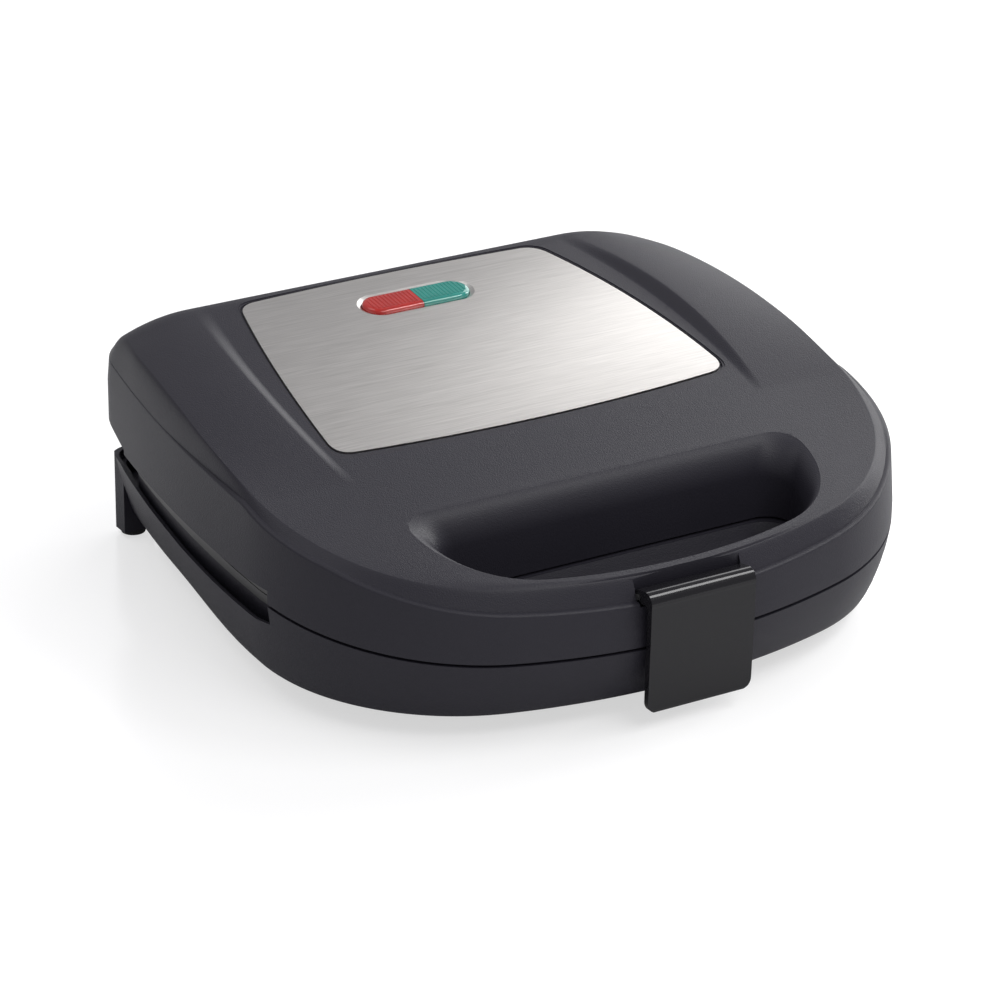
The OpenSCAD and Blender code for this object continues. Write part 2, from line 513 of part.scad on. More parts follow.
// ---- reflectors, thermostat, fuse ----
refl_t = 0.6;
refl_w = 176;
refl_d = 106;
refl_gap = 2.4;
refl_z = well_h + web_t + 2 * rail_h + refl_gap;
module reflector() difference() {
    union() {
        translate([0, loop_y, -refl_z - refl_t]) linear_extrude(refl_t) rrect(refl_w, refl_d, 12);
        translate([0, loop_y, -refl_z - refl_t]) linear_extrude(2.4) difference() {
            rrect(refl_w, refl_d, 12);
            rrect(refl_w - 2 * refl_t, refl_d - 2 * refl_t, 12 - refl_t);
        }
        for (p = [[-60, 0], [60, 0], [-60, 40], [60, 40]]) translate([p[0], p[1], -refl_z]) cylinder(r = 3, h = refl_z - well_h - web_t, $fn = 24);
    }
    translate([0, loop_y, -refl_z - 5]) cylinder(r = 14, h = 20, $fn = 48);
}
module lower_reflector() color(c_steel) lower_pose() reflector();
module upper_reflector() color(c_steel) upper_pose() reflector();
module thermostat() color(c_white) upper_pose() translate([0, loop_y, -well_h - web_t]) mirror([0, 0, 1]) {
    cylinder(r = 9, h = 7, $fn = 40);
    cylinder(r = 11, h = 1, $fn = 40);
    for (s = [-1, 1]) translate([s * 5 - 1.5, -0.4, 6.9]) cube([3, 0.8, 5]);
}
module thermal_fuse() color(c_metal) upper_pose() translate([0, -18, -refl_z - refl_t]) mirror([0, 0, 1]) {
    translate([-9, 0, 2.6]) rotate([0, 90, 0]) cylinder(r = 2, h = 18, $fn = 24);
    for (s = [-1, 1]) translate([s * 6 - 1, -2.6, 0]) cube([2, 5.2, 3]);
}

// ---- base ----
base_ry = rear_y - 3;
base_rr = 12;
foot_x = 90;
foot_y = base_ry - 6.8;
leg_w = 11;
base_levels = [[0, 7.4], [0.03, 6.4], [0.1, 5.5], [0.25, 4.1], [0.5, 2.3], [0.75, 0.9], [1, 0]];
base_n = [7, 8, 10, 7];
// the sides lean in further towards the rear
side_lean = 0.034;
function lean_x(p, d) = p[0] * (1 - side_lean * d / base_levels[0][1] * smooth((p[1] + 20) / 70));
module base_solid(t = 0) skin([for (l = base_levels)
    [for (p = mirrored(half_ring(l[1] + t, [0], base_n, base_ry, base_rr)))
        [lean_x(p, l[1]), p[1], mix(base_z + t, parting(p[1]) - parting_gap / 2 + (t > 0 ? 1 : 0), l[0])]]]);
wall_top = low_z - flange_t;
slot_z = 27.5;
rim_low = 22;
module base_profile() polygon([[-130, 0], [130, 0], [130, 30], [93, 30], [88, 29], [60, slot_z], [30, slot_z - 0.6], [0, slot_z],
    [step_y + 8, slot_z + 0.8], [step_y, slot_z + 2], [step_y, 60], [-130, 60]]);
ear_in = hinge_x - lug_w - 0.3 - ear_w;
ear_out = hinge_x + lug_w + 0.3 + ear_w;
module hinge_ears() for (s = [-1, 1]) for (e = [[ear_in, ear_in + ear_w], [ear_out - ear_w, ear_out]])
    mirror([s < 0 ? 1 : 0, 0, 0]) {
        rod_x(hinge_y, hinge_z, knuckle_r, e[0], e[1], 48);
        along_x(e[0], e[1]) polygon([[hinge_y - knuckle_r, hinge_z], [hinge_y + knuckle_r, hinge_z], [base_ry - 2.2, 26], [base_ry - 5, base_z + 2], [hinge_y - 13, base_z + 2]]);
    }
module rear_legs() intersection() {
    translate([0, 0, 2]) linear_extrude(30) polygon(mirrored(half_ring(2.4, [0], [5, 9, 8, 5], base_ry, base_rr)));
    for (s = [-1, 1]) translate([s * foot_x - leg_w / 2, base_ry - 11.4, 0]) cube([leg_w, 30, 60]);
}
base_posts = screws;
module base_shell() color(c_shell) difference() {
    union() {
        intersection() {
            along_x(-150, 150) base_profile();
            difference() {
                union() {
                    base_solid(0);
                    rear_legs();
                }
                base_solid(wall);
                // lower rear wall between the corners, clear of the lid hinges
                translate([-76, base_ry - 11, slot_z - 0.5]) cube([152, 20, 40]);
            }
        }
        // inner wall that carries the lower plate
        intersection() {
            base_solid(0.6);
            union() {
                translate([0, 0, base_z + 1]) linear_extrude(wall_top - base_z - 1) difference() {
                    plate2d(0.3);
                    plate2d(0.3 + wall - 0.4);
                }
                // gutter floor between the skirt and the inner wall
                translate([0, 0, rim_low - 2]) linear_extrude(2) difference() {
                    body2d(0, base_ry, base_rr);
                    plate2d(1);
                    translate([-150, -150]) square([300, 150 + plate_front_y]);
                }
                difference() {
                    for (p = base_posts) translate([p[0], p[1], base_z + 1]) cylinder(r = 4, h = wall_top - base_z - 1, $fn = 32);
                    tub_space(seat);
                }
                for (p = [[-60, 0], [60, 0], [-60, 40], [60, 40]]) translate([p[0], p[1], base_z + 1]) cylinder(r = 3.4, h = low_z - refl_z - refl_t - base_z - 1, $fn = 24);
            }
        }
        intersection() {
            union() {
                base_solid(0.4);
                translate([-100, base_ry - 24, 25]) cube([200, 30, 20]);
            }
            hinge_ears();
        }
        translate([0, gland_y - gland_seat_t, gland_z]) rotate([-90, 0, 0]) cylinder(r = gland_r + 2.8, h = gland_seat_t, $fn = 40);
        for (s = [-1, 1]) translate([s * 62, -62, 3]) cylinder(r = 9, h = base_z - 2, $fn = 40);
        keeper();
    }
    for (p = base_posts) translate([p[0], p[1], wall_top - 12]) cylinder(r = screw_r, h = 14, $fn = 24);
    for (s = [-1, 1]) rod_x(hinge_y, hinge_z, hinge_pin_r, s * hinge_x - 12, s * hinge_x + 12, 32);
    // vents in the floor
    for (s = [-1, 1]) for (i = [0:5]) translate([s * 40 - 15, -30 + i * 9, base_z - 1]) linear_extrude(6) translate([15, 0]) stadium(30, 3);
    // bores of the cord gland and the feet
    translate([0, base_ry - 16, gland_z]) rotate([-90, 0, 0]) cylinder(r = gland_r, h = 20, $fn = 40);
    for (s = [-1, 1]) {
        translate([s * foot_x, foot_y, 0]) cylinder(r = 2.6, h = 5, $fn = 28);
        translate([s * 62, -62, 0]) cylinder(r = 6, h = 6, $fn = 36);
    }
}
// rib under the front edge that the latch tooth pulls against
module keeper() intersection() {
    along_x(-12, 12) polygon([[-104.4, 15.6], [-107.2, 16.4], [-107.3, 19.4], [-105.6, 22], [-102, 22], [-102, 15.6]]);
    union() {
        base_solid(-3);
    }
}
gland_z = 18;
gland_seat_t = 8;
gland_r = 4.6;
cord_r = 3.2;
gland_y = base_ry - 3;
module cord_gland() color(c_rubber) difference() {
    union() {
        translate([0, gland_y - 9, gland_z]) rotate([-90, 0, 0]) cylinder(r = gland_r, h = 9.5, $fn = 40);
        translate([0, gland_y, gland_z]) rotate([-90, 0, 0]) cylinder(r = gland_r + 1.8, h = 2, $fn = 40);
    }
    translate([0, gland_y - 16, gland_z]) rotate([-90, 0, 0]) cylinder(r = cord_r, h = 30, $fn = 32);
}
deck_posts = [[-80, -60], [80, -60], [-66, -84], [66, -84]];
module base_grip_deck() color(c_shell) difference() {
    union() {
        parting_sheet(-parting_gap / 2 - cover_t, cover_t) difference() {
            body2d(wall + 1.1, base_ry, base_rr);
            translate([-150, plate_front_y - 3.4]) square([300, 200]);
        }
        difference() {
            union() {
                for (p = deck_posts) translate([p[0], p[1], base_z + wall]) cylinder(r = 3.2, h = 30, $fn = 28);
                scoop(1.8);
            }
            parting_frame(-parting_gap / 2 - 1) translate([-150, -50, 0]) cube([300, 300, 80]);
        }
    }
    scoop(0);
}
// finger hollow in the deck
function scoop_level(d, h) = [for (p = mirrored(funnel(66, pocket_rear_y - 8.6, -94.4, 16, 150, d, d, d))) [p[0], p[1], parting(p[1]) - parting_gap / 2 - h]];
module scoop(t) skin([scoop_level(11 - t, 12 + t), scoop_level(7 - t, 11 + t), scoop_level(3.4 - t, 7), scoop_level(1.2 - t, 2.6), scoop_level(-0.4 - t, 0.4), scoop_level(-0.4 - t, -3)]);
module rubber_feet() color(c_rubber) {
    for (s = [-1, 1]) {
        translate([s * foot_x, foot_y, 0]) cylinder(r = 4.2, h = 2, $fn = 32);
        translate([s * foot_x, foot_y, 1]) cylinder(r = 2.6, h = 4, $fn = 28);
        translate([s * 62, -62, 0]) cylinder(r = 8, h = 3, $fn = 40);
        translate([s * 62, -62, 1]) cylinder(r = 6, h = 5, $fn = 36);
    }
}
module terminal_block() color(c_white) difference() {
    translate([-15, 75.5, base_z + wall]) cube([30, 12, 9]);
    for (i = [-1:1]) translate([i * 9, 81.5, base_z + wall + 3]) cylinder(r = 2, h = 10, $fn = 24);
    for (i = [-1:1]) translate([i * 9, 70, base_z + wall + 4.5]) rotate([-90, 0, 0]) cylinder(r = 1.3, h = 30, $fn = 20);
}
module hinge_pin(s) rod_x(hinge_y, hinge_z, hinge_pin_r, s * hinge_x - lug_w - 0.3 - ear_w, s * hinge_x + lug_w + 0.3 + ear_w, 32);
module hinge_pin_left() color(c_metal) hinge_pin(-1);
module hinge_pin_right() color(c_metal) hinge_pin(1);

// ---- latch ----
lp_y = overall_front;
module latch_pin() color(c_metal) rod_x(latch_y, latch_z, latch_pin_r, -22.6, 22.6, 24);
module latch_clip() color(c_gloss) difference() {
    union() {
        rod_x(latch_y, latch_z, barrel_r, -latch_w, latch_w, 48);
        along_x(-latch_w, latch_w) polygon(concat(
            [[latch_y, latch_z + barrel_r], [latch_y - 2, latch_z + barrel_r + 0.45]],
            [for (a = [100:-14:2]) polar([lp_y + 3.6, latch_z - 0.4], 3.6, 180 - a)],
            [[lp_y + 0.9, latch_low_z + 0.8], [lp_y + 1.3, latch_low_z + 0.2], [lp_y + 2, latch_low_z],
             [lp_y + 0.7 + latch_t, latch_low_z + 0.6], [lp_y + 0.2 + latch_t, 39.8], [lp_y + 0.9 + latch_t, 42],
             [latch_y - 1.6, latch_z - barrel_r + 0.7], [latch_y, latch_z - barrel_r + 0.4]]));
        along_x(-10, 10) polygon([[lp_y + 2, 11], [-107.9, 12.6], [-107.6, 14.2], [-107.7, 14.8], [lp_y + 2, 14.8]]);
    }
    rod_x(latch_y, latch_z, latch_pin_r + running_gap, -latch_w - 1, latch_w + 1, 24);
    // rounded lower corners
    for (s = [-1, 1]) translate([s * (latch_w - 4), -130, latch_low_z + 4]) rotate([-90, 0, 0]) difference() {
        translate([s > 0 ? 0 : -6, 0, 0]) cube([6, 6, 40]);
        cylinder(r = 4, h = 40, $fn = 40);
    }
}

base_shell();
base_grip_deck();
lower_plate();
lower_element();
lower_reflector();
lower_plate_screws();
rubber_feet();
cord_gland();
terminal_block();
hinge_pin_left();
hinge_pin_right();
lid_shell();
lid_grip_cover();
steel_panel();
power_lens();
ready_lens();
lamp_holder();
neon_lamps();
upper_plate();
upper_element();
upper_reflector();
upper_plate_screws();
thermostat();
thermal_fuse();
latch_pin();
latch_clip();
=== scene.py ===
# %% [markdown]
# # A sandwich toaster, finished piece by piece
# The housing is two moulded shells, a lid and a tub, that close over two cooking plates. The solids already
# exist as a fixed frame with a hinge for the lid and one for the latch. This lesson gives each piece its
# smooth surface and its finish. The frame is loaded first, because some pieces start as copies of its
# solids.

# %% Load the frame
import math
import bmesh
import bpy
import numpy as np
from mathutils import Matrix, Vector


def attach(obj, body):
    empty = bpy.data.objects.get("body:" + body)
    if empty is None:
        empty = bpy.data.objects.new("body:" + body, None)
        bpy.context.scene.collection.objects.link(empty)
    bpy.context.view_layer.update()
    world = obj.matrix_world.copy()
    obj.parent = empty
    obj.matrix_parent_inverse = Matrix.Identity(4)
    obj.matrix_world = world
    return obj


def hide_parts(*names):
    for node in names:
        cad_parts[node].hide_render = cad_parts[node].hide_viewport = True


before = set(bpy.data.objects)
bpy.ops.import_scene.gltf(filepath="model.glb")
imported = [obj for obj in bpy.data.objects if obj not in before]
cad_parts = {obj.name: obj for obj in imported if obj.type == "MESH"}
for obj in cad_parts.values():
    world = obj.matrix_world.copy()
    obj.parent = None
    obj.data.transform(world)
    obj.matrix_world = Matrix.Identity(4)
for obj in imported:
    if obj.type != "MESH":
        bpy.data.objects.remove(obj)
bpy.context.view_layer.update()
MM = 0.001

# %% [markdown]
# ## Camera
# A product view from the front left and slightly above. A long lens keeps the lid's edges almost parallel.
# The camera's three axes are written as unit vectors, because a product shot is described by where the
# camera's right, up and back point, and a matrix takes them as its columns.

# %% Camera
camera_place = Vector((-0.67338, -1.0995, 0.60708))
camera_right = Vector((0.857307, -0.514693, 0.010768))
camera_up = Vector((0.201501, 0.354735, 0.912995))
camera_back = camera_right.cross(camera_up).normalized()
camera_data = bpy.data.cameras.new("product_camera")
camera_data.sensor_width = 36
camera_data.lens = 154.43
camera = bpy.data.objects.new("product_camera", camera_data)
turn = Matrix((camera_right, camera_up, camera_back)).transposed()
camera.matrix_world = Matrix.Translation(camera_place) @ turn.to_4x4()
bpy.context.scene.collection.objects.link(camera)
bpy.context.scene.camera = camera
bpy.context.scene.view_settings.view_transform = "Standard"
print("camera at", [round(c, 3) for c in camera_place])

# %% [markdown]
# ## Shader sums
# A procedural finish is arithmetic on patterns. Wiring Math nodes by hand hides the sum, so one small class
# wraps a socket and turns + and * into Math nodes. Its reflected forms let a plain number stand on the left.

# %% Sockets that can be added and multiplied
class Value:
    """A socket of a finish that can stand in a sum."""

    def __init__(self, finish, socket):
        self.finish = finish
        self.socket = socket

    def sum_of(self, operation, first, second):
        return self.finish.node("ShaderNodeMath", {"operation": operation}, {0: first, 1: second})

    def __add__(self, other):
        return self.sum_of("ADD", self, other)

    def __radd__(self, other):
        return self.sum_of("ADD", other, self)

    def __mul__(self, other):
        return self.sum_of("MULTIPLY", self, other)

    def __rmul__(self, other):
        return self.sum_of("MULTIPLY", other, self)


# %% [markdown]
# ## Finishes
# Each finish is one material, and the room is built the same way as a world. One method makes any node from
# its type, settings and sockets, and short ones stand for what finishes need most: a grain, a blend of two
# colours, a bump and the closing shader. A Mix node keeps separate sockets for numbers, vectors and colours,
# so the ones for colours are named here.

# %% A finish: one material and the nodes behind it
MIX_FACTOR, MIX_FIRST, MIX_SECOND, MIX_RESULT = 0, 6, 7, 2


class Finish:
    """A material named for its finish, or a world, built from nodes."""

    def __init__(self, name, world=False):
        self.owner = bpy.data.worlds.new(name) if world else bpy.data.materials.new(name)
        self.owner.use_nodes = True
        self.tree = self.owner.node_tree
        self.tree.nodes.clear()
        self.output = self.tree.nodes.new("ShaderNodeOutputWorld" if world else "ShaderNodeOutputMaterial")

    def node(self, kind, settings=None, sockets=None, out=0):
        made = self.tree.nodes.new(kind)
        for key, setting in (settings or {}).items():
            setattr(made, key, setting)
        for key, given in (sockets or {}).items():
            if isinstance(given, Value):
                self.tree.links.new(given.socket, made.inputs[key])
            else:
                made.inputs[key].default_value = given
        return Value(self, made.outputs[out])

    def place(self, scale):
        """The point in metres, stretched by scale."""
        point = self.node("ShaderNodeTexCoord", out="Object")
        return self.node("ShaderNodeVectorMath", {"operation": "MULTIPLY"}, {0: point, 1: scale})

    def grain(self, size, detail=2.0, stretch=(1, 1, 1)):
        """Noise from 0 to 1 with spots about size metres across."""
        sockets = {"Vector": self.place(stretch), "Scale": 1 / size, "Detail": detail}
        return self.node("ShaderNodeTexNoise", {}, sockets)

    def blend(self, amount, first, second):
        """A colour between two colours."""
        sockets = {MIX_FACTOR: amount, MIX_FIRST: (*first, 1), MIX_SECOND: (*second, 1)}
        return self.node("ShaderNodeMix", {"data_type": "RGBA"}, sockets, out=MIX_RESULT)

    def bump(self, height, depth, strength):
        """A normal raised by height, depth metres high."""
        sockets = {"Height": height, "Distance": depth, "Strength": strength}
        return self.node("ShaderNodeBump", {}, sockets, out="Normal")

    def finish_with(self, closing):
        """Ends the finish with one shader."""
        self.tree.links.new(closing.socket, self.output.inputs["Surface"])
        print("finish", self.owner.name, "with", len(self.tree.nodes), "nodes")
        return self.owner

    def skin(self, **sockets):
        """Ends the finish with a Principled shader. Its sockets are named with underscores for spaces."""
        named = {key.replace("_", " "): given for key, given in sockets.items()}
        for key, given in named.items():
            if isinstance(given, tuple):
                named[key] = (*given, 1)
        return self.finish_with(self.node("ShaderNodeBsdfPrincipled", {}, named, out="BSDF"))


# %% [markdown]
# ## Textured shell plastic
# The shells come from a spark-eroded mould: a satin surface of tiny rounded grains, each under half a
# millimetre. Grain could be modelled, but millions of facets would be wasted, so noise tips the normal as
# if it rose about a tenth of a millimetre, and varies the roughness. A slower noise keeps large faces from
# looking like one flat paint.

# %% Textured shell plastic
def shell_plastic():
    grain_size, grain_depth, drift_size = 0.00042, 0.00014, 0.045
    dark, light = (0.0190, 0.0178, 0.0250), (0.0235, 0.0220, 0.0300)
    finish = Finish("textured_shell_plastic")
    grains = finish.grain(grain_size, detail=1.5)
    drift = finish.grain(drift_size, detail=2)
    tone = finish.blend(drift, dark, light)
    rough = 0.36 + grains * 0.14 + drift * 0.05
    return finish.skin(Base_Color=tone, Roughness=rough, Specular_IOR_Level=0.25,
                       Normal=finish.bump(grains, grain_depth, 0.7))


shell = shell_plastic()

# %% [markdown]
# ## Polished latch plastic
# The latch is the same black but from a polished mould, and fingers leave faint smears. Only the roughness
# carries the smears: a colour stain would look like dirt.

# %% Polished latch plastic
def latch_plastic():
    smear_size, black = 0.012, (0.010, 0.0095, 0.0115)
    finish = Finish("polished_latch_plastic")
    smear = finish.grain(smear_size, detail=3, stretch=(1, 1, 0.4))
    return finish.skin(Base_Color=black, Roughness=0.09 + smear * 0.08,
                       Specular_IOR_Level=0.28, Coat_Weight=0.10, Coat_Roughness=0.05)


gloss = latch_plastic()

# %% [markdown]
# ## Brushed steel
# The panel is belt-brushed along its width. Scratches are long in X and hair-thin in Y, so the noise's
# space is squeezed along X: a third of a millimetre across, and some fifteen along. Wider, longer bands lie
# under the hairs. The scratches shift colour, roughness and normal together, as they do on metal.

# %% Brushed steel
def brushed_steel():
    hair_size, band_size, scratch_depth = 0.00032, 0.0016, 0.00001
    dark, light = (0.37, 0.357, 0.342), (0.78, 0.757, 0.733)
    finish = Finish("brushed_steel_panel")
    hair = finish.grain(hair_size, detail=3, stretch=(0.022, 1, 0.3))
    band = finish.grain(band_size, detail=2, stretch=(0.008, 1, 0.3))
    streaks = hair * 0.8 + band * 0.2
    tone = finish.blend(streaks, dark, light)
    return finish.skin(Base_Color=tone, Metallic=1.0, Roughness=0.24 + streaks * 0.18,
                       Normal=finish.bump(streaks, scratch_depth, 0.5))


steel = brushed_steel()

# %% [markdown]
# ## Lamp lenses
# Two clear acrylic caps, one red and one green, over neon lamps. Light enters and leaves through the ribs.
# A dyed surface with a little transmission shows that well, a faint painted glow in the dye's colour keeps
# the lens bright, and a polished coat gives the glints.

# %% Lamp lenses
def lens_acrylic(name, dark, light):
    finish = Finish(name)
    depth = finish.grain(0.009, detail=1)
    dye_and_painted_glow = finish.blend(depth, dark, light)
    # The emission is a painted glow in the dye's colour, which keeps the lens bright.
    return finish.skin(Base_Color=dye_and_painted_glow, Roughness=0.07, IOR=1.49, Transmission_Weight=0.25,
                       Coat_Weight=0.4, Coat_Roughness=0.05, Emission_Color=dye_and_painted_glow, Emission_Strength=0.12)


red_lens = lens_acrylic("red_lens_acrylic", (0.36, 0.008, 0.006), (0.52, 0.020, 0.012))
green_lens = lens_acrylic("green_lens_acrylic", (0.006, 0.20, 0.165), (0.020, 0.31, 0.26))

# %% [markdown]
# ## Non-stick plates, tubes and sheet
# The castings carry a dark sprayed coating with fine sparkle. The heating tubes are stainless, tinted by
# heat. The reflectors are plain rolled sheet.

# %% Plates, tubes and sheet
def coated_plate():
    fleck_size, fleck_depth, drift_size = 0.0004, 0.00004, 0.03
    dark, light = (0.018, 0.018, 0.019), (0.050, 0.049, 0.050)
    finish = Finish("non_stick_coating")
    fleck = finish.grain(fleck_size, detail=3)
    drift = finish.grain(drift_size)
    tone = finish.blend(fleck, dark, light)
    return finish.skin(Base_Color=tone, Roughness=0.30 + drift * 0.12, Specular_IOR_Level=0.6,
                       Normal=finish.bump(fleck, fleck_depth, 0.4))


def tinted_tube():
    finish = Finish("heat_tinted_tube")
    heat = finish.grain(0.022, detail=2)
    tone = finish.blend(heat, (0.30, 0.26, 0.22), (0.42, 0.36, 0.33))
    return finish.skin(Base_Color=tone, Metallic=1.0, Roughness=0.34 + heat * 0.12)


def rolled_sheet():
    finish = Finish("rolled_sheet")
    roll = finish.grain(0.0012, detail=2, stretch=(0.05, 1, 1))
    tone = finish.blend(roll, (0.62, 0.62, 0.61), (0.74, 0.74, 0.73))
    return finish.skin(Base_Color=tone, Metallic=1.0, Roughness=0.28 + roll * 0.15)


coating = coated_plate()
tube_steel = tinted_tube()
sheet_metal = rolled_sheet()

# %% [markdown]
# ## Small parts
# Rubber is matte and slightly dusty, screws and hinge pins are drawn and plated wire, the latch's pin is
# blackened, the ceramic-filled blocks are off white with a dull skin, and the neon lamps are thin glass.

# %% Small parts
def foot_rubber():
    dust_size, dust_depth = 0.0015, 0.00004
    finish = Finish("foot_rubber")
    dust = finish.grain(dust_size, detail=4)
    tone = finish.blend(dust, (0.012, 0.012, 0.012), (0.030, 0.029, 0.028))
    return finish.skin(Base_Color=tone, Roughness=0.72 + dust * 0.15,
                       Normal=finish.bump(dust, dust_depth, 0.5))


def drawn_lines(finish):
    """The fine lines that drawing leaves along a wire."""
    return finish.grain(0.0005, detail=2, stretch=(0.1, 1, 1))


def plated_wire():
    finish = Finish("plated_wire")
    draw = drawn_lines(finish)
    tone = finish.blend(draw, (0.50, 0.50, 0.49), (0.66, 0.66, 0.64))
    return finish.skin(Base_Color=tone, Metallic=1.0, Roughness=0.24 + draw * 0.2)


def blackened_pin():
    finish = Finish("blackened_pin")
    draw = drawn_lines(finish)
    tone = finish.blend(draw, (0.014, 0.014, 0.015), (0.026, 0.026, 0.027))
    return finish.skin(Base_Color=tone, Roughness=0.35 + draw * 0.2)


def ceramic_block():
    speck_size, speck_depth = 0.0007, 0.00003
    finish = Finish("ceramic_block")
    speck = finish.grain(speck_size, detail=3)
    tone = finish.blend(speck, (0.60, 0.57, 0.50), (0.74, 0.72, 0.66))
    return finish.skin(Base_Color=tone, Roughness=0.55 + speck * 0.15,
                       Normal=finish.bump(speck, speck_depth, 0.4))


def lamp_glass():
    finish = Finish("lamp_glass")
    tint = finish.grain(0.003)
    tone = finish.blend(tint, (0.85, 0.55, 0.40), (0.92, 0.70, 0.55))
    return finish.skin(Base_Color=tone, Roughness=0.08 + tint * 0.04, Transmission_Weight=0.7, IOR=1.5)


rubber = foot_rubber()
wire = plated_wire()
dark_pin = blackened_pin()
ceramic = ceramic_block()
glass = lamp_glass()

# %% [markdown]
# ## Meshes from rings
# A moulded shell is easiest to describe by rings: closed loops of points at rising heights, joined by a
# skin. The helpers take millimetres, as a drawing does, and turn them into metres once, when the mesh is
# made.

# %% Mesh helpers
def piece_of(name, points, faces):
    mesh = bpy.data.meshes.new(name)
    mesh.from_pydata((np.asarray(points, float) * MM).tolist(), [], faces)
    made = bpy.data.objects.new(name, mesh)
    bpy.context.scene.collection.objects.link(made)
    outward = bmesh.new()
    outward.from_mesh(mesh)
    bmesh.ops.remove_doubles(outward, verts=outward.verts, dist=1e-7)
    bmesh.ops.recalc_face_normals(outward, faces=outward.faces)
    outward.to_mesh(mesh)
    outward.free()
    return made


def ring_walls(levels, count):
    """The four-cornered faces between closed rings of count points each."""
    faces = []
    for k in range(levels - 1):
        for i in range(count):
            j = (i + 1) % count
            faces.append([k * count + i, (k + 1) * count + i, (k + 1) * count + j, k * count + j])
    return faces


def skin_rings(name, rings):
    """Closed rings of equal length, from the lowest up, with a flat cap at each end."""
    count = len(rings[0])
    caps = [list(range(count)), [(len(rings) - 1) * count + i for i in range(count)][::-1]]
    points = np.concatenate([np.asarray(ring, float) for ring in rings])
    return piece_of(name, points, caps + ring_walls(len(rings), count))


def bar_x(name, profile, x0, x1):
    """A profile of (y, z) points, drawn along X."""
    return skin_rings(name, [[(x, y, z) for y, z in profile] for x in (x0, x1)])


def post_z(name, outline, z0, z1):
    """An outline of (x, y) points, raised along Z."""
    return skin_rings(name, [[(x, y, z) for x, y in outline] for z in (z0, z1)])


def box_at(name, low, high):
    corners = [(low[0], low[1]), (high[0], low[1]), (high[0], high[1]), (low[0], high[1])]
    return post_z(name, corners, low[2], high[2])


def circle(cx, cy, r, count=64):
    turns = np.linspace(0, 2 * math.pi, count, endpoint=False)
    return [(cx + r * math.cos(a), cy + r * math.sin(a)) for a in turns]


print("a round bar is drawn with", len(circle(0, 0, 1)), "sides")

# %% [markdown]
# ## Cutting, joining and dressing
# Solids are cut and joined with Boolean modifiers whose result is baked at once, so that each step leaves a
# plain mesh. A finished piece then gets softened edges, sharp edges where two faces meet steeply, and
# normals weighted by area. Those keep a large flat face even where a cut has left slivers beside it.

# %% Cutting, joining and dressing
bevel_from = math.radians(38)


def baked(piece):
    """Turns a piece's modifiers into its mesh."""
    bpy.context.view_layer.update()
    graph = bpy.context.evaluated_depsgraph_get()
    mesh = bpy.data.meshes.new_from_object(piece.evaluated_get(graph))
    piece.modifiers.clear()
    piece.data = mesh
    return piece


def combine(body, tools, how):
    for tool in tools if isinstance(tools, list) else [tools]:
        step = body.modifiers.new(how.lower(), "BOOLEAN")
        step.operation = how
        step.solver = "MANIFOLD"
        step.object = tool
        baked(body)
        bpy.data.objects.remove(tool)
    return body


def cut(body, tools):
    return combine(body, tools, "DIFFERENCE")


def join(body, tools):
    return combine(body, tools, "UNION")


def keep_inside(body, tool):
    return combine(body, tool, "INTERSECT")


def dressed(piece, body, finish, slot, *nodes, sharp=32, soften=0.0, steps=2):
    """Smooths a piece, gives it its finish and lets it stand for its solid."""
    if soften:
        bevel = piece.modifiers.new("soften", "BEVEL")
        bevel.width = soften * MM
        bevel.segments = steps
        bevel.limit_method = "ANGLE"
        bevel.angle_limit = bevel_from
        bevel.use_clamp_overlap = True
        bevel.harden_normals = False
        baked(piece)
    mesh = piece.data
    mesh.polygons.foreach_set("use_smooth", [True] * len(mesh.polygons))
    mesh.set_sharp_from_angle(angle=math.radians(sharp))
    even = piece.modifiers.new("even", "WEIGHTED_NORMAL")
    even.keep_sharp = True
    mesh = baked(piece).data
    mesh.materials.clear()
    mesh.materials.append(finish)
    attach(piece, body)
    if nodes:
        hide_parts(*nodes)
    print(piece.name, "has", len(mesh.polygons), "faces")
    return piece


# %% [markdown]
# ## The outline of the housing
# Seen from above, half of the housing is four arcs that touch without a corner: the bowed front, the front
# corner, the nearly straight side and the rear corner. An inset keeps every centre and changes only the
# radii, so walls and bands stay parallel everywhere.

# %% Outline arcs
body_w, front_y, rear_y = 230, -108, 112
front_r, corner_r, side_r, rear_r = 220.8, 75.3, 690.8, 26.2
side_turn = math.radians(1.2)
outline_steps = (14, 14, 28, 16)
wall = 2.4
front_centre = np.array([0, front_y + front_r])
corner_x = body_w / 2 - corner_r
corner_y = front_centre[1] - math.sqrt((front_r - corner_r) ** 2 - corner_x ** 2)
corner_centre = np.array([corner_x, corner_y])
side_centre = corner_centre + (corner_r - side_r) * np.array([math.cos(side_turn), math.sin(side_turn)])
front_turn = math.atan2(corner_centre[1] - front_centre[1], corner_centre[0])


def arc(centre, radius, start, end, count, last=False):
    turns = np.linspace(start, end, count, endpoint=last)
    return [(centre[0] + radius * math.cos(a), centre[1] + radius * math.sin(a)) for a in turns]


def rear_centre(ry, rr):
    drop = ry - rr - side_centre[1]
    return np.array([side_centre[0] + math.sqrt((side_r - rr) ** 2 - drop ** 2), ry - rr])


def half_ring(inset, xs, counts, ry=rear_y, rr=rear_r):
    """Half an outline, from the rear middle to the front middle."""
    rear = rear_centre(ry, rr)
    turn = math.atan2(rear[1] - side_centre[1], rear[0] - side_centre[0])
    points = [(x, ry - inset) for x in xs]
    points += arc(rear, rr - inset, math.pi / 2, turn, counts[0])
    points += arc(side_centre, side_r - inset, turn, side_turn, counts[1])
    points += arc(corner_centre, corner_r - inset, side_turn, front_turn, counts[2])
    points += arc(front_centre, front_r - inset, front_turn, -math.pi / 2, counts[3] + 1, last=True)
    return np.array(points)


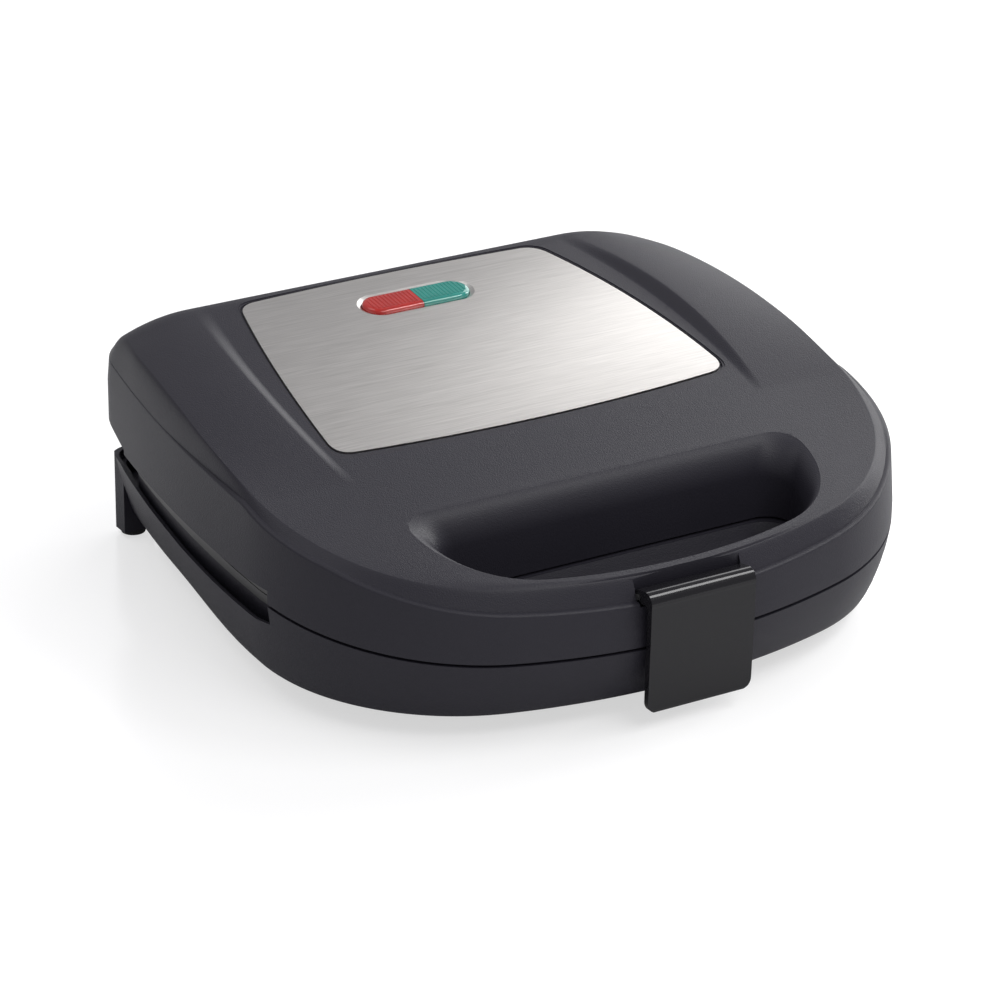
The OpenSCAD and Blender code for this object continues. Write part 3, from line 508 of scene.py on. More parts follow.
def whole(half):
    """Mirrors half an outline, or half a ring with heights, into a closed loop."""
    half = np.asarray(half, float)
    other = half[1:-1].copy()
    other[:, 0] *= -1
    return np.concatenate([half[::-1], other])


def outline(inset, ry=rear_y, rr=rear_r):
    return whole(half_ring(inset, [0], outline_steps, ry, rr))


print("outline", np.round(outline(0).min(0), 1), np.round(outline(0).max(0), 1))

# %% [markdown]
# ## The surface of the lid
# Along the middle the lid rises as a straight grip slope, then as a gentle bow under the panel, and drops
# at the rear. Each stretch is one formula of the distance along the lid, so every other shape can ask how
# high the lid is at its own place.

# %% The lid along its middle
parting_z, parting_rise, parting_gap = 26.8, 0.138, 1
panel_front_z, panel_front_y, panel_rear_y = 68, -12.4, 84.6
slope, bow_r = math.radians(11.8), 824
drop_y, drop_r, drop_rise = 85.5, 10, 0.9
bow_centre = (panel_front_y + bow_r * math.sin(slope), panel_front_z - bow_r * math.cos(slope))


def parting(y):
    return parting_z + parting_rise * (y - front_y)


def clamp(t):
    return min(1.0, max(0.0, t))


def smooth(t):
    return clamp(t) ** 2 * (3 - 2 * clamp(t))


def mix(a, b, t):
    return a + (b - a) * t


def panel_bow(y):
    return bow_centre[1] + math.sqrt(bow_r ** 2 - (y - bow_centre[0]) ** 2)


def rear_drop(y):
    return 0 if y < drop_y else drop_rise * (math.hypot(y - drop_y, drop_r) - drop_r)


def spine(y):
    if y < panel_front_y:
        return panel_front_z + math.tan(slope) * (y - panel_front_y)
    return panel_bow(y) - rear_drop(y)


print("middle of the lid", [round(spine(y), 1) for y in (-100, 0, 80)])

# %% [markdown]
# ## Crests and edges
# Beside the panel two crests swell up and fade out again towards the front. Across the lid each row starts
# flat, climbs to its crest in a smooth step and falls to the edge in a parabola. The top surface is the
# middle's height plus the crest's.

# %% The lid across: flat, crest and edge
crest_h, crest_start_y, crest_len = 2.6, -27, 115.5
crest_x, crest_mid_y, crest_bend, crest_share = 81.8, 16, 0.00155, 0.86
crest_w_front, crest_w_rear, crest_w_len, crest_full_w = 4, 6.5, 100, 90
edge_h, edge_climb, edge_bend_y, edge_bend, edge_lowest = 1.1, 0.018, 18, 0.00115, -4.6
flat_steps, crest_steps, edge_steps = 6, 8, 11


def crest_rise(y):
    """How high the crest stands above the middle."""
    return crest_h * math.sin(math.pi * clamp((y - crest_start_y) / crest_len))


def edge_rise(y):
    """How high the lid's edge stands above the middle, below zero towards the rear."""
    return max(edge_lowest, edge_h + edge_climb * min(0, y) - edge_bend * max(0, y - edge_bend_y) ** 2)


def crest_at(y, half):
    """Where the crest is, on a row whose edge is half millimetres from the middle."""
    return min(crest_x - crest_bend * (y - crest_mid_y) ** 2, crest_share * half)


def foot_at(y, half):
    """Where the crest starts to rise."""
    width = mix(crest_w_front, crest_w_rear, clamp((y - crest_start_y) / crest_w_len))
    return crest_at(y, half) - width * min(1, half / crest_full_w)


def top_surface(x, y, half):
    across, crest, foot = abs(x), crest_at(y, half), foot_at(y, half)
    if across <= foot:
        return spine(y)
    if across <= crest:
        return spine(y) + crest_rise(y) * smooth((across - foot) / (crest - foot))
    outwards = (across - crest) / max(0.01, half - crest)
    return spine(y) + mix(crest_rise(y), edge_rise(y), outwards ** 2)


def columns(y, half):
    """Places across the lid where its surface is sampled, closest over the crest."""
    crest, foot = crest_at(y, half), foot_at(y, half)
    flat = np.linspace(0, foot, flat_steps + 1)[:-1]
    rise = np.linspace(foot, crest, crest_steps + 1)[:-1]
    return [*flat, *rise, *np.linspace(crest, half, edge_steps)]


print("top of the crests", round(spine(78) + crest_rise(78), 1))

# %% [markdown]
# ## The side of the lid
# Going up, the side passes four curves: a wall that leans slightly, a narrow ledge that turns inwards to a
# crease, and a soft roll from the crease to the edge of the top. Each curve is the outline at its own inset.
# The insets change along the lid, because the front rolls over widely and the sides only a little.

# %% Curves of the lid's side
lid_steps = (22, 34, 40, 22)
lean_in, wall_lean, ledge_h = 3, 1.1, 1.1
lean_share_side, lean_y, lean_len = 0.27, -30, 80
wall_share_side, knee_front, knee_side, side_y, side_len = 0.7, 0.8, 0.3, -60, 110
cap_in, cap_side_in, cap_rear_in = 6.6, 3.3, 5.6
cap_side_y, cap_side_len, cap_rear_y, cap_rear_len = -56, 70, 66, 28
crease_front_z, crease_climb, crease_top_z, crease_top_climb, crease_soft = 40.2, 0.33, 64.6, 0.028, 1.2
half_rear = rear_centre(rear_y, rear_r)[0]


def crease_h(y):
    """Two straight lines, climbing and then nearly level, with a soft bend between them."""
    low, level = crease_front_z + crease_climb * (y - front_y), crease_top_z + crease_top_climb * y
    return min(low, level) - crease_soft * math.log(1 + math.exp(-abs(low - level) / crease_soft))


def cap_inset(y):
    side_in = mix(cap_in, cap_side_in, smooth((y - cap_side_y) / cap_side_len))
    return mix(side_in, cap_rear_in, smooth((y - cap_rear_y) / cap_rear_len))


def side_curves(inset, xs):
    """Half outlines of wall, ledge foot, crease and top edge, and how far out the roll's knee stands."""
    out, lean, wide = (half_ring(d + inset, xs, lid_steps) for d in (0, lean_in, cap_in))
    cap = np.array([mix(a, b, cap_inset(a[1]) / cap_in) for a, b in zip(out, wide)])
    shares = np.array([[mix(1, lean_share_side, smooth((y - lean_y) / lean_len))] for y in out[:, 1]])
    crease = mix(out, lean, shares)
    side = np.array([[smooth((y - side_y) / side_len)] for y in out[:, 1]])
    steep = mix(out, crease, mix(wall_lean / lean_in, wall_share_side, side))
    return out, steep, crease, cap, mix(knee_front, knee_side, side)


print("crease from", round(crease_h(front_y), 1), "to", round(crease_h(rear_y), 1))

# %% [markdown]
# ## The lid as one closed solid
# The side is a stack of rings. The roll leaves the crease steeply and meets the top in the top's own slope,
# so no line shows between them. The top is a grid whose rows follow the edge, and its outer points are
# the last ring's own. With an inset the same code gives the space inside the wall.

# %% The lid as one closed solid
skirt_low_z, wall_start, wall_room = 20, 5, 4
crease_lift, crease_room, roll_room = 0.5, 2, 0.6
ledge_rings, roll_steps, roll_slope, shortest_edge = 6, 13, 0.7, 8


def with_heights(flat, heights):
    return np.column_stack([flat, heights])


def edge_slopes(out, crease, cap, cap_z, crease_z, widths):
    """How steeply the top falls outwards at each point of its edge."""
    slopes = []
    for wall_at, crease_end, edge, top_z, low_z, half in zip(out, crease, cap, cap_z, crease_z, widths):
        y = edge[1]
        nx, ny = (wall_at - edge) / np.linalg.norm(wall_at - edge)
        across = 2 * (crest_rise(y) - edge_rise(y)) / max(shortest_edge, half - crest_at(y, half))
        steepest = roll_slope * (top_z - low_z) / np.linalg.norm(edge - crease_end)
        slopes.append(min((spine(y - 0.5) - spine(y + 0.5)) * ny + across * nx, steepest))
    return np.array(slopes)


def lid_side(inset, xs):
    """Half rings with heights, from the skirt up to the top's edge, and the edge itself."""
    out, steep, crease, cap, knee = side_curves(inset, xs)
    widths = [half_rear if i < len(xs) else x for i, (x, y) in enumerate(cap)]
    cap_z = np.array([top_surface(x, y, half) - inset for (x, y), half in zip(cap, widths)])
    crease_z = np.array([min(crease_h(y) + crease_lift, top_z + inset - crease_room) - inset
                         for (x, y), top_z in zip(crease, cap_z)])
    slopes = edge_slopes(out, crease, cap, cap_z, crease_z, widths)
    halves = [with_heights(out, np.full(len(out), skirt_low_z - inset * 2))]
    halves.append(with_heights(out, np.minimum(parting(out[:, 1]) + wall_start, crease_z - wall_room)))
    for turn in np.radians(np.linspace(0, 90, ledge_rings)):
        flat = mix(steep, crease, 1 - math.cos(turn))
        halves.append(with_heights(flat, crease_z - ledge_h * (1 - math.sin(turn))))
    for t in np.linspace(0, 1, roll_steps)[1:-1]:
        in_share, up_share = 2 * t * (1 - t) * knee + t * t, t * (2 - t)
        flat = mix(crease, cap, in_share)
        crown = np.maximum(crease_z + roll_room, cap_z - slopes * np.linalg.norm(cap - flat, axis=1))
        halves.append(with_heights(flat, mix(crease_z, crown, up_share)))
    halves.append(with_heights(cap, cap_z))
    return halves, cap


def lid_top(points, ring_n, cap, across, inset):
    """Adds the grid of the top to the points and gives its faces."""
    last, top = len(cap) - 1, len(points) - ring_n
    number = {}
    for j in range(across, last + 1):
        for k in range(-across, across + 1):
            if j == last:
                number[j, k] = top
            elif j == across:
                number[j, k] = top + (last - k) % ring_n
            elif abs(k) == across:
                number[j, k] = top + (last - j if k > 0 else last + j)
            else:
                half, y = cap[j]
                x = math.copysign(columns(y, half)[abs(k)], k)
                number[j, k] = len(points)
                points.append((x, y, top_surface(x, y, half) - inset))
    faces = []
    for j in range(across, last):
        for k in range(-across, across):
            corners = [number[j, k], number[j, k + 1], number[j + 1, k + 1], number[j + 1, k]]
            corners = list(dict.fromkeys(corners))
            if len(corners) > 2:
                faces.append(corners)
    return faces


def lid_solid(name, inset):
    """The outside of the lid, or with an inset the space within its wall."""
    xs = columns(rear_y - cap_rear_in - inset, half_rear)[:-1]
    halves, cap = lid_side(inset, xs)
    rings = [whole(half) for half in halves]
    ring_n = len(rings[0])
    points = [tuple(point) for ring in rings for point in ring]
    faces = [list(range(ring_n))] + ring_walls(len(rings), ring_n)
    faces += lid_top(points, ring_n, cap, len(xs), inset)
    return piece_of(name, points, faces)


print("rings up the side", 1 + ledge_rings + roll_steps)

# %% [markdown]
# ## The grip pocket
# Fingers reach through an oval funnel in the front of the lid. Its rim is rolled: wide and soft at the rear,
# tight at the front. Rings do this well, because each ring can be inset by its own amount at the rear, the
# ends and the front while it follows the slope of the lid.

# %% Pocket rings
pocket_w, pocket_rear_y, pocket_front_y = 73.5, -48.6, -99.6
pocket_corner_r, pocket_bow_r = 38, 180
rim_r, rim_deep, rim_front_r, inner_ease, corner_pull = 7, 11, 2.5, 9, 0.55
draft_rear, draft_ends, draft_front = 1.2, -0.6, 0.6
rim_start, rim_end, rim_rings, rim_blend, above_lid = 90, 8, 15, 12, 2.4
straight_steps, corner_steps, end_steps, front_steps = 8, 14, 28, 16


def rear_corner(start, end, late, knee):
    """A curve from the straight rear edge to the end arc, pulled towards the corner's knee."""
    leave = start + (knee - start) * corner_pull
    arrive = end + np.array([-math.sin(late), math.cos(late)]) * corner_pull * np.linalg.norm(knee - end)
    points = []
    for t in np.linspace(0, 1, corner_steps, endpoint=False):
        near_start = start * (1 - t) ** 3 + leave * 3 * t * (1 - t) ** 2
        points.append(near_start + arrive * 3 * t * t * (1 - t) + end * t ** 3)
    return points


def pocket_outline(insets, ease):
    """The pocket's outline with insets at the rear, ends and front. Ease rounds its rear corners."""
    at_rear, at_end, at_front = insets
    bow_y = pocket_front_y + pocket_bow_r
    cx = pocket_w - pocket_corner_r
    cy = bow_y - math.sqrt((pocket_bow_r - pocket_corner_r) ** 2 - cx * cx)
    turn = math.atan2(cy - bow_y, cx)
    late = -ease / (pocket_corner_r - at_end)
    start = np.array([pocket_w - pocket_rear_y + cy - ease, pocket_rear_y - at_rear])
    end = np.array([cx, cy]) + (pocket_corner_r - at_end) * np.array([math.cos(late), math.sin(late)])
    knee = np.array([pocket_w - at_end, pocket_rear_y - at_rear])
    points = [(x, pocket_rear_y - at_rear) for x in np.linspace(0, start[0], straight_steps)[:-1]]
    points += rear_corner(start, end, late, knee)
    for t in np.linspace(0, 1, end_steps, endpoint=False):
        r, a = pocket_corner_r - mix(at_end, at_front, smooth(t)), mix(late, turn, t)
        points.append((cx + r * math.cos(a), cy + r * math.sin(a)))
    points += arc((0, bow_y), pocket_bow_r - at_front, turn, -math.pi / 2, front_steps, last=True)
    return whole(points)


def pocket_ring(insets, height, ease=0):
    return [(x, y, height(y)) for x, y in pocket_outline(insets, ease)]


def pocket_solid(name, thick, low):
    """The pocket's hollow, or with a thickness the solid that becomes its wall."""
    bottom = (rim_r + draft_rear - thick, rim_r + draft_ends - thick, rim_front_r + draft_front - thick)
    rings = [pocket_ring(bottom, lambda y: parting(y) + low, inner_ease)]
    for turn in np.radians(np.linspace(rim_start, rim_end, rim_rings)):
        over, down = math.sin(turn), 1 - math.cos(turn)

        def height(y):
            depth = mix(rim_front_r, rim_deep, smooth((y - pocket_front_y) / rim_blend))
            return spine(y) - down * depth - thick * 0.8

        insets = (rim_r * over - thick, rim_r * over - thick, rim_front_r * over - thick)
        rings.append(pocket_ring(insets, height, inner_ease * over))
    rings.append(pocket_ring((-above_lid - thick,) * 3, lambda y: spine(y) + above_lid))
    return skin_rings(name, rings)


print("pocket", 2 * pocket_w, "wide", pocket_rear_y - pocket_front_y, "deep")

# %% [markdown]
# ## The panel and its recess
# The steel panel has slightly bowed edges and tight rounded corners, and is bent to the lid's bow. A slab
# between two bowed surfaces, trimmed by the outline raised through it, gives the panel, its recess and the
# pad beneath.

# %% Panel shapes
panel_rear_w, panel_front_w = 57.8, 74.2
panel_t, panel_sunk, reveal = 0.9, 0.1, 0.4
side_bow, rear_bow, front_bow, side_out = 2.6, 1.8, 3.8, 0.17
side_cut, rear_cut, front_cut, corner_round = 0.075, 0.06, 0.05, 0.35
window_w, window_d, window_y, coined = 43.4, 15.2, 66, 1.5
panel_corner_steps, panel_edge_steps, well_above = 9, 22, -8
slab_front_y, slab_rear_y, slab_half, trim_low_z, trim_high_z = -30, 100, 100, 30, 120


def panel_outline(grow):
    """Right side, rear, left side and front, each bowed outwards, with a curve round every corner."""
    front_w, rear_w = panel_front_w + grow, panel_rear_w + grow
    front, rear = panel_front_y - grow, panel_rear_y + grow
    places = ((front_w, front), (rear_w, rear), (-rear_w, rear), (-front_w, front))
    corners = [np.array(place, float) for place in places]
    outs = [np.array(o) for o in ((1, side_out), (0, 1), (-1, side_out), (0, -1))]
    bows = (side_bow, rear_bow, side_bow, front_bow)
    cuts = (side_cut, rear_cut, side_cut, front_cut)

    def edge(k, t):
        return corners[k] + (corners[(k + 1) % 4] - corners[k]) * t + outs[k] * bows[k] * 4 * t * (1 - t)

    points = []
    for k in range(4):
        before = (k + 3) % 4
        start, end = edge(before, 1 - cuts[before]), edge(k, cuts[k])
        knee = corners[k] + (outs[k] + outs[before]) * corner_round
        for t in np.linspace(0, 1, panel_corner_steps)[:-1]:
            points.append(start * (1 - t) ** 2 + knee * 2 * t * (1 - t) + end * t * t)
        run = np.linspace(0, 1, panel_edge_steps)[:-1]
        points += [edge(k, mix(cuts[k], 1 - cuts[k], t)) for t in run]
    return points


def bowed_slab(name, low, high):
    """The space between two bowed surfaces, low and high millimetres below the lid, negative above it."""
    ys = np.linspace(slab_front_y, slab_rear_y, slab_rear_y - slab_front_y + 1)
    profile = [(y, panel_bow(y) - low) for y in ys] + [(y, panel_bow(y) - high) for y in ys[::-1]]
    return bar_x(name, profile, -slab_half, slab_half)


def panel_space(name, grow, low, high):
    trim = post_z("trim", panel_outline(grow), trim_low_z, trim_high_z)
    return keep_inside(bowed_slab(name, low, high), trim)


def stadium(width, depth, count=20):
    flat = (width - depth) / 2
    return (arc((flat, 0), depth / 2, -math.pi / 2, math.pi / 2, count, last=True)
            + arc((-flat, 0), depth / 2, math.pi / 2, 3 * math.pi / 2, count, last=True))


def stadium_rings(name, width, depth, levels):
    """A stadium that changes size as it rises. The levels are pairs of height and inset."""
    return skin_rings(name, [[(x, y, z) for x, y in stadium(width - 2 * inset, depth - 2 * inset)]
                             for z, inset in levels])


def on_bow(piece):
    """Moves a piece made round the origin onto the bowed surface at the lamp window."""
    tilt = math.asin((bow_centre[0] - window_y) / bow_r)
    middle = Vector((0, window_y, panel_bow(window_y))) * MM
    piece.data.transform(Matrix.Translation(middle) @ Matrix.Rotation(tilt, 4, "X"))
    return piece


print("panel outline of", len(panel_outline(0)), "points")

# %% [markdown]
# ## Sizes that the shells share
# The plates, the hinge and the latch reach into both shells, so their sizes come before either. The wall
# round the plate bay is drawn once and stands in both.

# %% Plate bay, hinge and latch sizes
seam_z, seam_gap, flange_t, seat = 34.45, 0.3, 3, 0.3
hinge_y, hinge_z, hinge_x, knuckle_r, hinge_pin_r = 104, 36.5, 63, 6, 2
lug_w, ear_w = 3, 4
latch_w, latch_y, latch_z, barrel_r, latch_pin_r, latch_gap = 19.2, -104.2, 43.4, 2.4, 1, 0.35
swing_room, trough_floor, trough_w = 0.6, 2.4, 24
plate_in, plate_front_y, plate_rear_y, plate_rear_r = 6, -49, 98, 22
rim_gap, rim_t, rim_top_z = 0.3, 2, 52
lid_side_z, step_y = 41.2, -40
bore_gap, ear_gap = 0.05, 0.3
inner_z = seam_z + seam_gap / 2 + flange_t + seat
past_x, past_z = 150, 60


def plate_outline(inset):
    """The plate's outline, cut straight at the front."""
    loop = outline(plate_in + inset, plate_rear_y, plate_rear_r)
    front = plate_front_y + inset
    corner = min(loop, key=lambda point: abs(point[1] - front))
    kept = [tuple(point) for point in loop if point[1] > front]
    return [(abs(corner[0]), front), *kept, (-abs(corner[0]), front)]


def rim_wall(name, low, high):
    """The wall round the plate bay."""
    ring = post_z(name, plate_outline(rim_gap), low, high)
    return cut(ring, post_z("space", plate_outline(rim_gap + rim_t), low - 1, high + 1))


print("lid's plate bay starts", round(inner_z, 2), "up and ends at", plate_front_y)

# %% [markdown]
# ## The lid shell
# The wall is what remains when the inner space is cut from the outside. The bay's wall, the funnel, the
# panel's pad and the lugs are joined to it, but only inside the skin, and the openings are cut last, so that
# nothing closes one again.

# %% Lid shell
pad_grow, pad_depth, pad_top = 2.4, 1.6, 1
ledge_w, ledge_d, pocket_low, skin_in = 0.6, 0.3, -8, 0.4


def hinge_lugs(side):
    """One knuckle and the web that carries it, as two bars."""
    x0, x1 = side * hinge_x - lug_w, side * hinge_x + lug_w
    web = [(hinge_y - knuckle_r, hinge_z), (hinge_y + knuckle_r, hinge_z), (rear_y - 0.8, lid_side_z + 6.5),
           (rear_y - 0.8, 62), (hinge_y - knuckle_r - 4, 62)]
    return [bar_x("knuckle", circle(hinge_y, hinge_z, knuckle_r), x0, x1), bar_x("lug", web, x0, x1)]


def lid_inside():
    """What stands inside the lid: the funnel, the bay's wall, the panel's pad, the trough and the lugs."""
    inside = pocket_solid("funnel_wall", wall, parting_gap / 2)
    join(inside, rim_wall("rim", inner_z, rim_top_z))
    join(inside, panel_space("pad", pad_grow, wall + pad_depth, pad_top))
    trough_low = latch_z - barrel_r - trough_floor
    join(inside, box_at("trough", (-trough_w, front_y + wall - 0.4, trough_low),
                        (trough_w, pocket_front_y + 1.6, past_z)))
    for side in (-1, 1):
        join(inside, hinge_lugs(side))
    return keep_inside(inside, lid_solid("skin", skin_in))


def cut_latch_seat(lid):
    """The notch in which the latch hangs and swings."""
    low, back = latch_z - barrel_r - 0.4, latch_y + barrel_r + swing_room
    notch = [(-120, low), (latch_y - 0.7, low), (latch_y - 0.4, latch_z + 0.1), (back, latch_z + 0.1),
             (back, 70), (-120, 70)]
    half = latch_w + latch_gap
    cut(lid, bar_x("notch", notch, -half, half))
    cut(lid, bar_x("barrel_space", circle(latch_y, latch_z, barrel_r + seat), -half, half))


def lid_shell():
    lid = cut(lid_solid("lid", 0), lid_solid("space", wall))
    skirt = [(-130, 0), (-130, parting(-130) + parting_gap / 2), (step_y, parting(step_y) + parting_gap / 2),
             (step_y, lid_side_z), (76.5, lid_side_z), (76.5, lid_side_z + 1.6), (94, 46), (120, 46.4),
             (120, 0)]
    cut(lid, bar_x("skirt", skirt, -past_x, past_x))
    join(lid, lid_inside())
    cut(lid, pocket_solid("pocket", 0, pocket_low))
    cut(lid, panel_space("recess", reveal, panel_t + panel_sunk, well_above))
    cut(lid, panel_space("ledge", reveal + ledge_w, ledge_d, well_above))
    cut(lid, on_bow(post_z("window", stadium(window_w, window_d), -12, 18)))
    cut_latch_seat(lid)
    for side in (-1, 1):
        x, reach = side * hinge_x, lug_w + 1
        cut(lid, bar_x("pin_bore", circle(hinge_y, hinge_z, hinge_pin_r + bore_gap), x - reach, x + reach))
    return lid


dressed(lid_shell(), "lid", shell, "shell", "lid_shell")

# %% [markdown]
# ## The tub
# The lower shell leans inwards all the way down, like a boat. Rings carry the lean: each has its own share
# of the height and its own inset. Behind the front compartment the wall is lower, which opens the slot along
# the sides.

# %% Tub walls
base_z, base_ry, base_rr = 8, 109, 12
side_lean, lean_start_y, lean_full = 0.034, -20, 70
tub_levels = ((0, 7.4), (0.015, 6.9), (0.03, 6.4), (0.1, 5.5), (0.25, 4.1), (0.5, 2.3), (0.75, 0.9), (1, 0))


def outline_at(inset):
    return outline(inset, base_ry, base_rr)


def tub_solid(name, inset):
    """The outside of the tub, or with an inset the space within its wall."""
    deepest, above = tub_levels[0][1], 1 if inset > 0 else 0
    rings = []
    for share, lean in tub_levels:
        loop = [(x * (1 - side_lean * lean / deepest * smooth((y - lean_start_y) / lean_full)), y)
                for x, y in outline_at(lean + inset)]
        tops = [parting(y) - parting_gap / 2 + above for x, y in loop]
        rings.append([(x, y, mix(base_z + inset, top, share)) for (x, y), top in zip(loop, tops)])
    return skin_rings(name, rings)


print("tub", len(tub_levels), "rings high")

# %% [markdown]
# ## Legs, ears, feet and vents
# The rear legs are joined first, so that the inner space is cut out of them too. The side view trims the tub
# to its height, and a rebate inside leaves the upper edge as a thin lip. A gutter floor closes the gap
# between the outer wall and the wall round the plate bay. Ears, foot bosses and the cord gland's seat are
# joined after it, and the bores and vents are cut last, through everything.

# %% Tub
foot_x, leg_w, leg_y = 90, 11, 97.6
boss_x, boss_y, boss_r = 62, -62, 9
leg_in, leg_low_z, leg_top_z, leg_rear_y = 2.4, 2, 32, 122
slot_z, gutter_z, gutter_t, rebate_d, rebate_in, tub_skin_in = 27.5, 22, 2, 3.2, 1.0, 0.6
gland_y, gland_z, gland_seat_y, gland_seat_r = 106, 18, 98, 7.4
vent_count, vent_pitch, vent_len, vent_w, vent_x, vent_start_y = 6, 9, 30, 3, 40, -30
wall_top = seam_z - seam_gap / 2 - flange_t


def rear_leg(side):
    low = (side * foot_x - leg_w / 2, leg_y, 0)
    high = (side * foot_x + leg_w / 2, leg_rear_y, past_z)
    return keep_inside(post_z("leg", outline_at(leg_in), leg_low_z, leg_top_z), box_at("corner", low, high))


def trim_side_view(tub):
    """Lowers the wall along the sides and leaves its upper edge as a thin lip."""
    profile = [(-130, 0), (130, 0), (130, 30), (93, 30), (88, 29), (60, slot_z), (30, slot_z - 0.6),
               (0, slot_z), (step_y + 8, slot_z + 0.8), (step_y, slot_z + 2), (step_y, 60), (-130, 60)]
    keep_inside(tub, bar_x("side_view", profile, -past_x, past_x))
    rebate = [(y, z - rebate_d) for y, z in profile[2:-1]] + [(step_y, 80), (130, 80)]
    cut(tub, keep_inside(tub_solid("rebate", rebate_in), bar_x("rebate_view", rebate, -past_x, past_x)))


def tub_inside():
    """The wall round the plate bay and the gutter floor outside it."""
    inside = rim_wall("inner_wall", base_z + 1, wall_top)
    gutter = post_z("gutter", outline_at(0), gutter_z - gutter_t, gutter_z)
    front = box_at("front", (-past_x, -150, 0), (past_x, plate_front_y, past_z))
    cut(gutter, [post_z("hole", plate_outline(1), 0, past_z), front])
    join(inside, gutter)
    return keep_inside(inside, tub_solid("skin", tub_skin_in))


def hinge_ears(side):
    """Two ears beside a knuckle of the lid, each with its foot."""
    low_z = base_z + 2
    ear_foot = [(hinge_y - knuckle_r, hinge_z), (hinge_y + knuckle_r, hinge_z), (base_ry - 2.2, 26),
                (base_ry - 5, low_z), (hinge_y - 13, low_z)]
    bars = []
    for start in (hinge_x - lug_w - ear_gap - ear_w, hinge_x + lug_w + ear_gap):
        x0, x1 = sorted((side * start, side * (start + ear_w)))
        bars.append(bar_x("ear", circle(hinge_y, hinge_z, knuckle_r), x0, x1))
        bars.append(bar_x("ear_foot", ear_foot, x0, x1))
    return bars


def gland_seat():
    seat_ring = post_z("gland_seat", circle(0, 0, gland_seat_r), 0, gland_y - gland_seat_y)
    place = Matrix.Translation(Vector((0, gland_seat_y, gland_z)) * MM)
    seat_ring.data.transform(place @ Matrix.Rotation(-math.pi / 2, 4, "X"))
    return seat_ring


def cut_bores_and_vents(tub, side):
    x = side * hinge_x
    cut(tub, bar_x("pin_bore", circle(hinge_y, hinge_z, hinge_pin_r), x - 12, x + 12))
    for i in range(vent_count):
        vent_y = vent_start_y + i * vent_pitch
        vent = [(px + side * vent_x, py + vent_y) for px, py in stadium(vent_len, vent_w, 8)]
        cut(tub, post_z("vent", vent, base_z - 1, base_z + 5))


def tub_shell():
    tub = tub_solid("tub", 0)
    for side in (-1, 1):
        join(tub, rear_leg(side))
    cut(tub, tub_solid("space", wall))
    cut(tub, box_at("rear_notch", (-76, gland_seat_y, slot_z - 0.5), (76, 118, 70)))
    trim_side_view(tub)
    join(tub, tub_inside())
    for side in (-1, 1):
        join(tub, hinge_ears(side))
        join(tub, post_z("foot_boss", circle(side * boss_x, boss_y, boss_r), 3, base_z + 1))
    join(tub, gland_seat())
    for side in (-1, 1):
        cut_bores_and_vents(tub, side)
    return tub


dressed(tub_shell(), "base", shell, "shell", "base_shell", sharp=30)

# %% [markdown]
# ## Pieces that only need a softer edge
# Castings and small mouldings already have their true form as solids. A copy gets its edges rounded by a
# bevel, because no cast or moulded edge is razor sharp, and then stands for the solid.

# %% Softened copies
def softened(node, name, body, finish, slot, width, sharp=34):
    """A copy of a node with merged flat faces and rounded edges."""
    made = bpy.data.objects.new(name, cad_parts[node].data.copy())
    bpy.context.scene.collection.objects.link(made)
    clean = bmesh.new()
    clean.from_mesh(made.data)
    bmesh.ops.remove_doubles(clean, verts=clean.verts, dist=2e-6)
    bmesh.ops.dissolve_limit(clean, angle_limit=math.radians(1.2), verts=clean.verts, edges=clean.edges)
    clean.to_mesh(made.data)
    clean.free()
    return dressed(made, body, finish, slot, node, soften=width, sharp=sharp)


softened("lower_plate", "lower_plate_cast", "base", coating, "plate", 0.5)
softened("upper_plate", "upper_plate_cast", "lid", coating, "plate", 0.5)
softened("base_grip_deck", "grip_deck_moulded", "base", shell, "shell", 0.0, sharp=36)
softened("cord_gland", "gland_moulded", "base", rubber, "rubber", 0.35)
softened("rubber_feet", "feet_moulded", "base", rubber, "rubber", 0.4)

# %% [markdown]
# ## The panel
# Cut from sheet, so its edge is crisp, with only a hair of rounding from the punch. That hair catches the
# thin bright line round the panel. The lamp window's edge is coined: pressed down in a small funnel, which
# frames the lenses with a bright ring.

# %% Steel panel
panel_shrink, window_levels = 0.35, ((-3, 1), (-panel_t, 1), (-0.65, 0.7), (-0.35, 0.3), (-0.15, 0))


def steel_panel():
    panel = panel_space("panel", -panel_shrink, panel_t + panel_sunk, panel_sunk)
    levels = [(z, coined * share) for z, share in window_levels] + [(0.6, -0.6)]
    return cut(panel, on_bow(stadium_rings("window", window_w, window_d, levels)))


dressed(steel_panel(), "lid", steel, "panel", "steel_panel", soften=0.22, sharp=40)

# %% [markdown]
# ## The lamp lenses
# One window holds two lenses, side by side. Each has a bevelled rim and fine ribs across it that spread the
# lamp's light. The ribs are real rounded bars, so they glint one by one.

# %% Lenses
lens_gap, lens_foot, flange_out, parted = 0.4, wall + pad_depth, 3, 0.1
lens_w, lens_d = window_w - 2 * coined - lens_gap, window_d - 2 * coined - lens_gap
lens_levels = ((-lens_foot - 0.1, 0), (-0.2, 0), (0.25, 0.2), (0.6, 0.7), (0.8, 1.5))
rib_count, rib_pitch, rib_start, rib_w, rib_h, rib_z, rib_low_z = 12, 1.45, 1.5, 0.45, 0.3, 0.72, 0.4
rib_end, rib_round_end, rib_shortest = 1.9, 1.7, 0.5


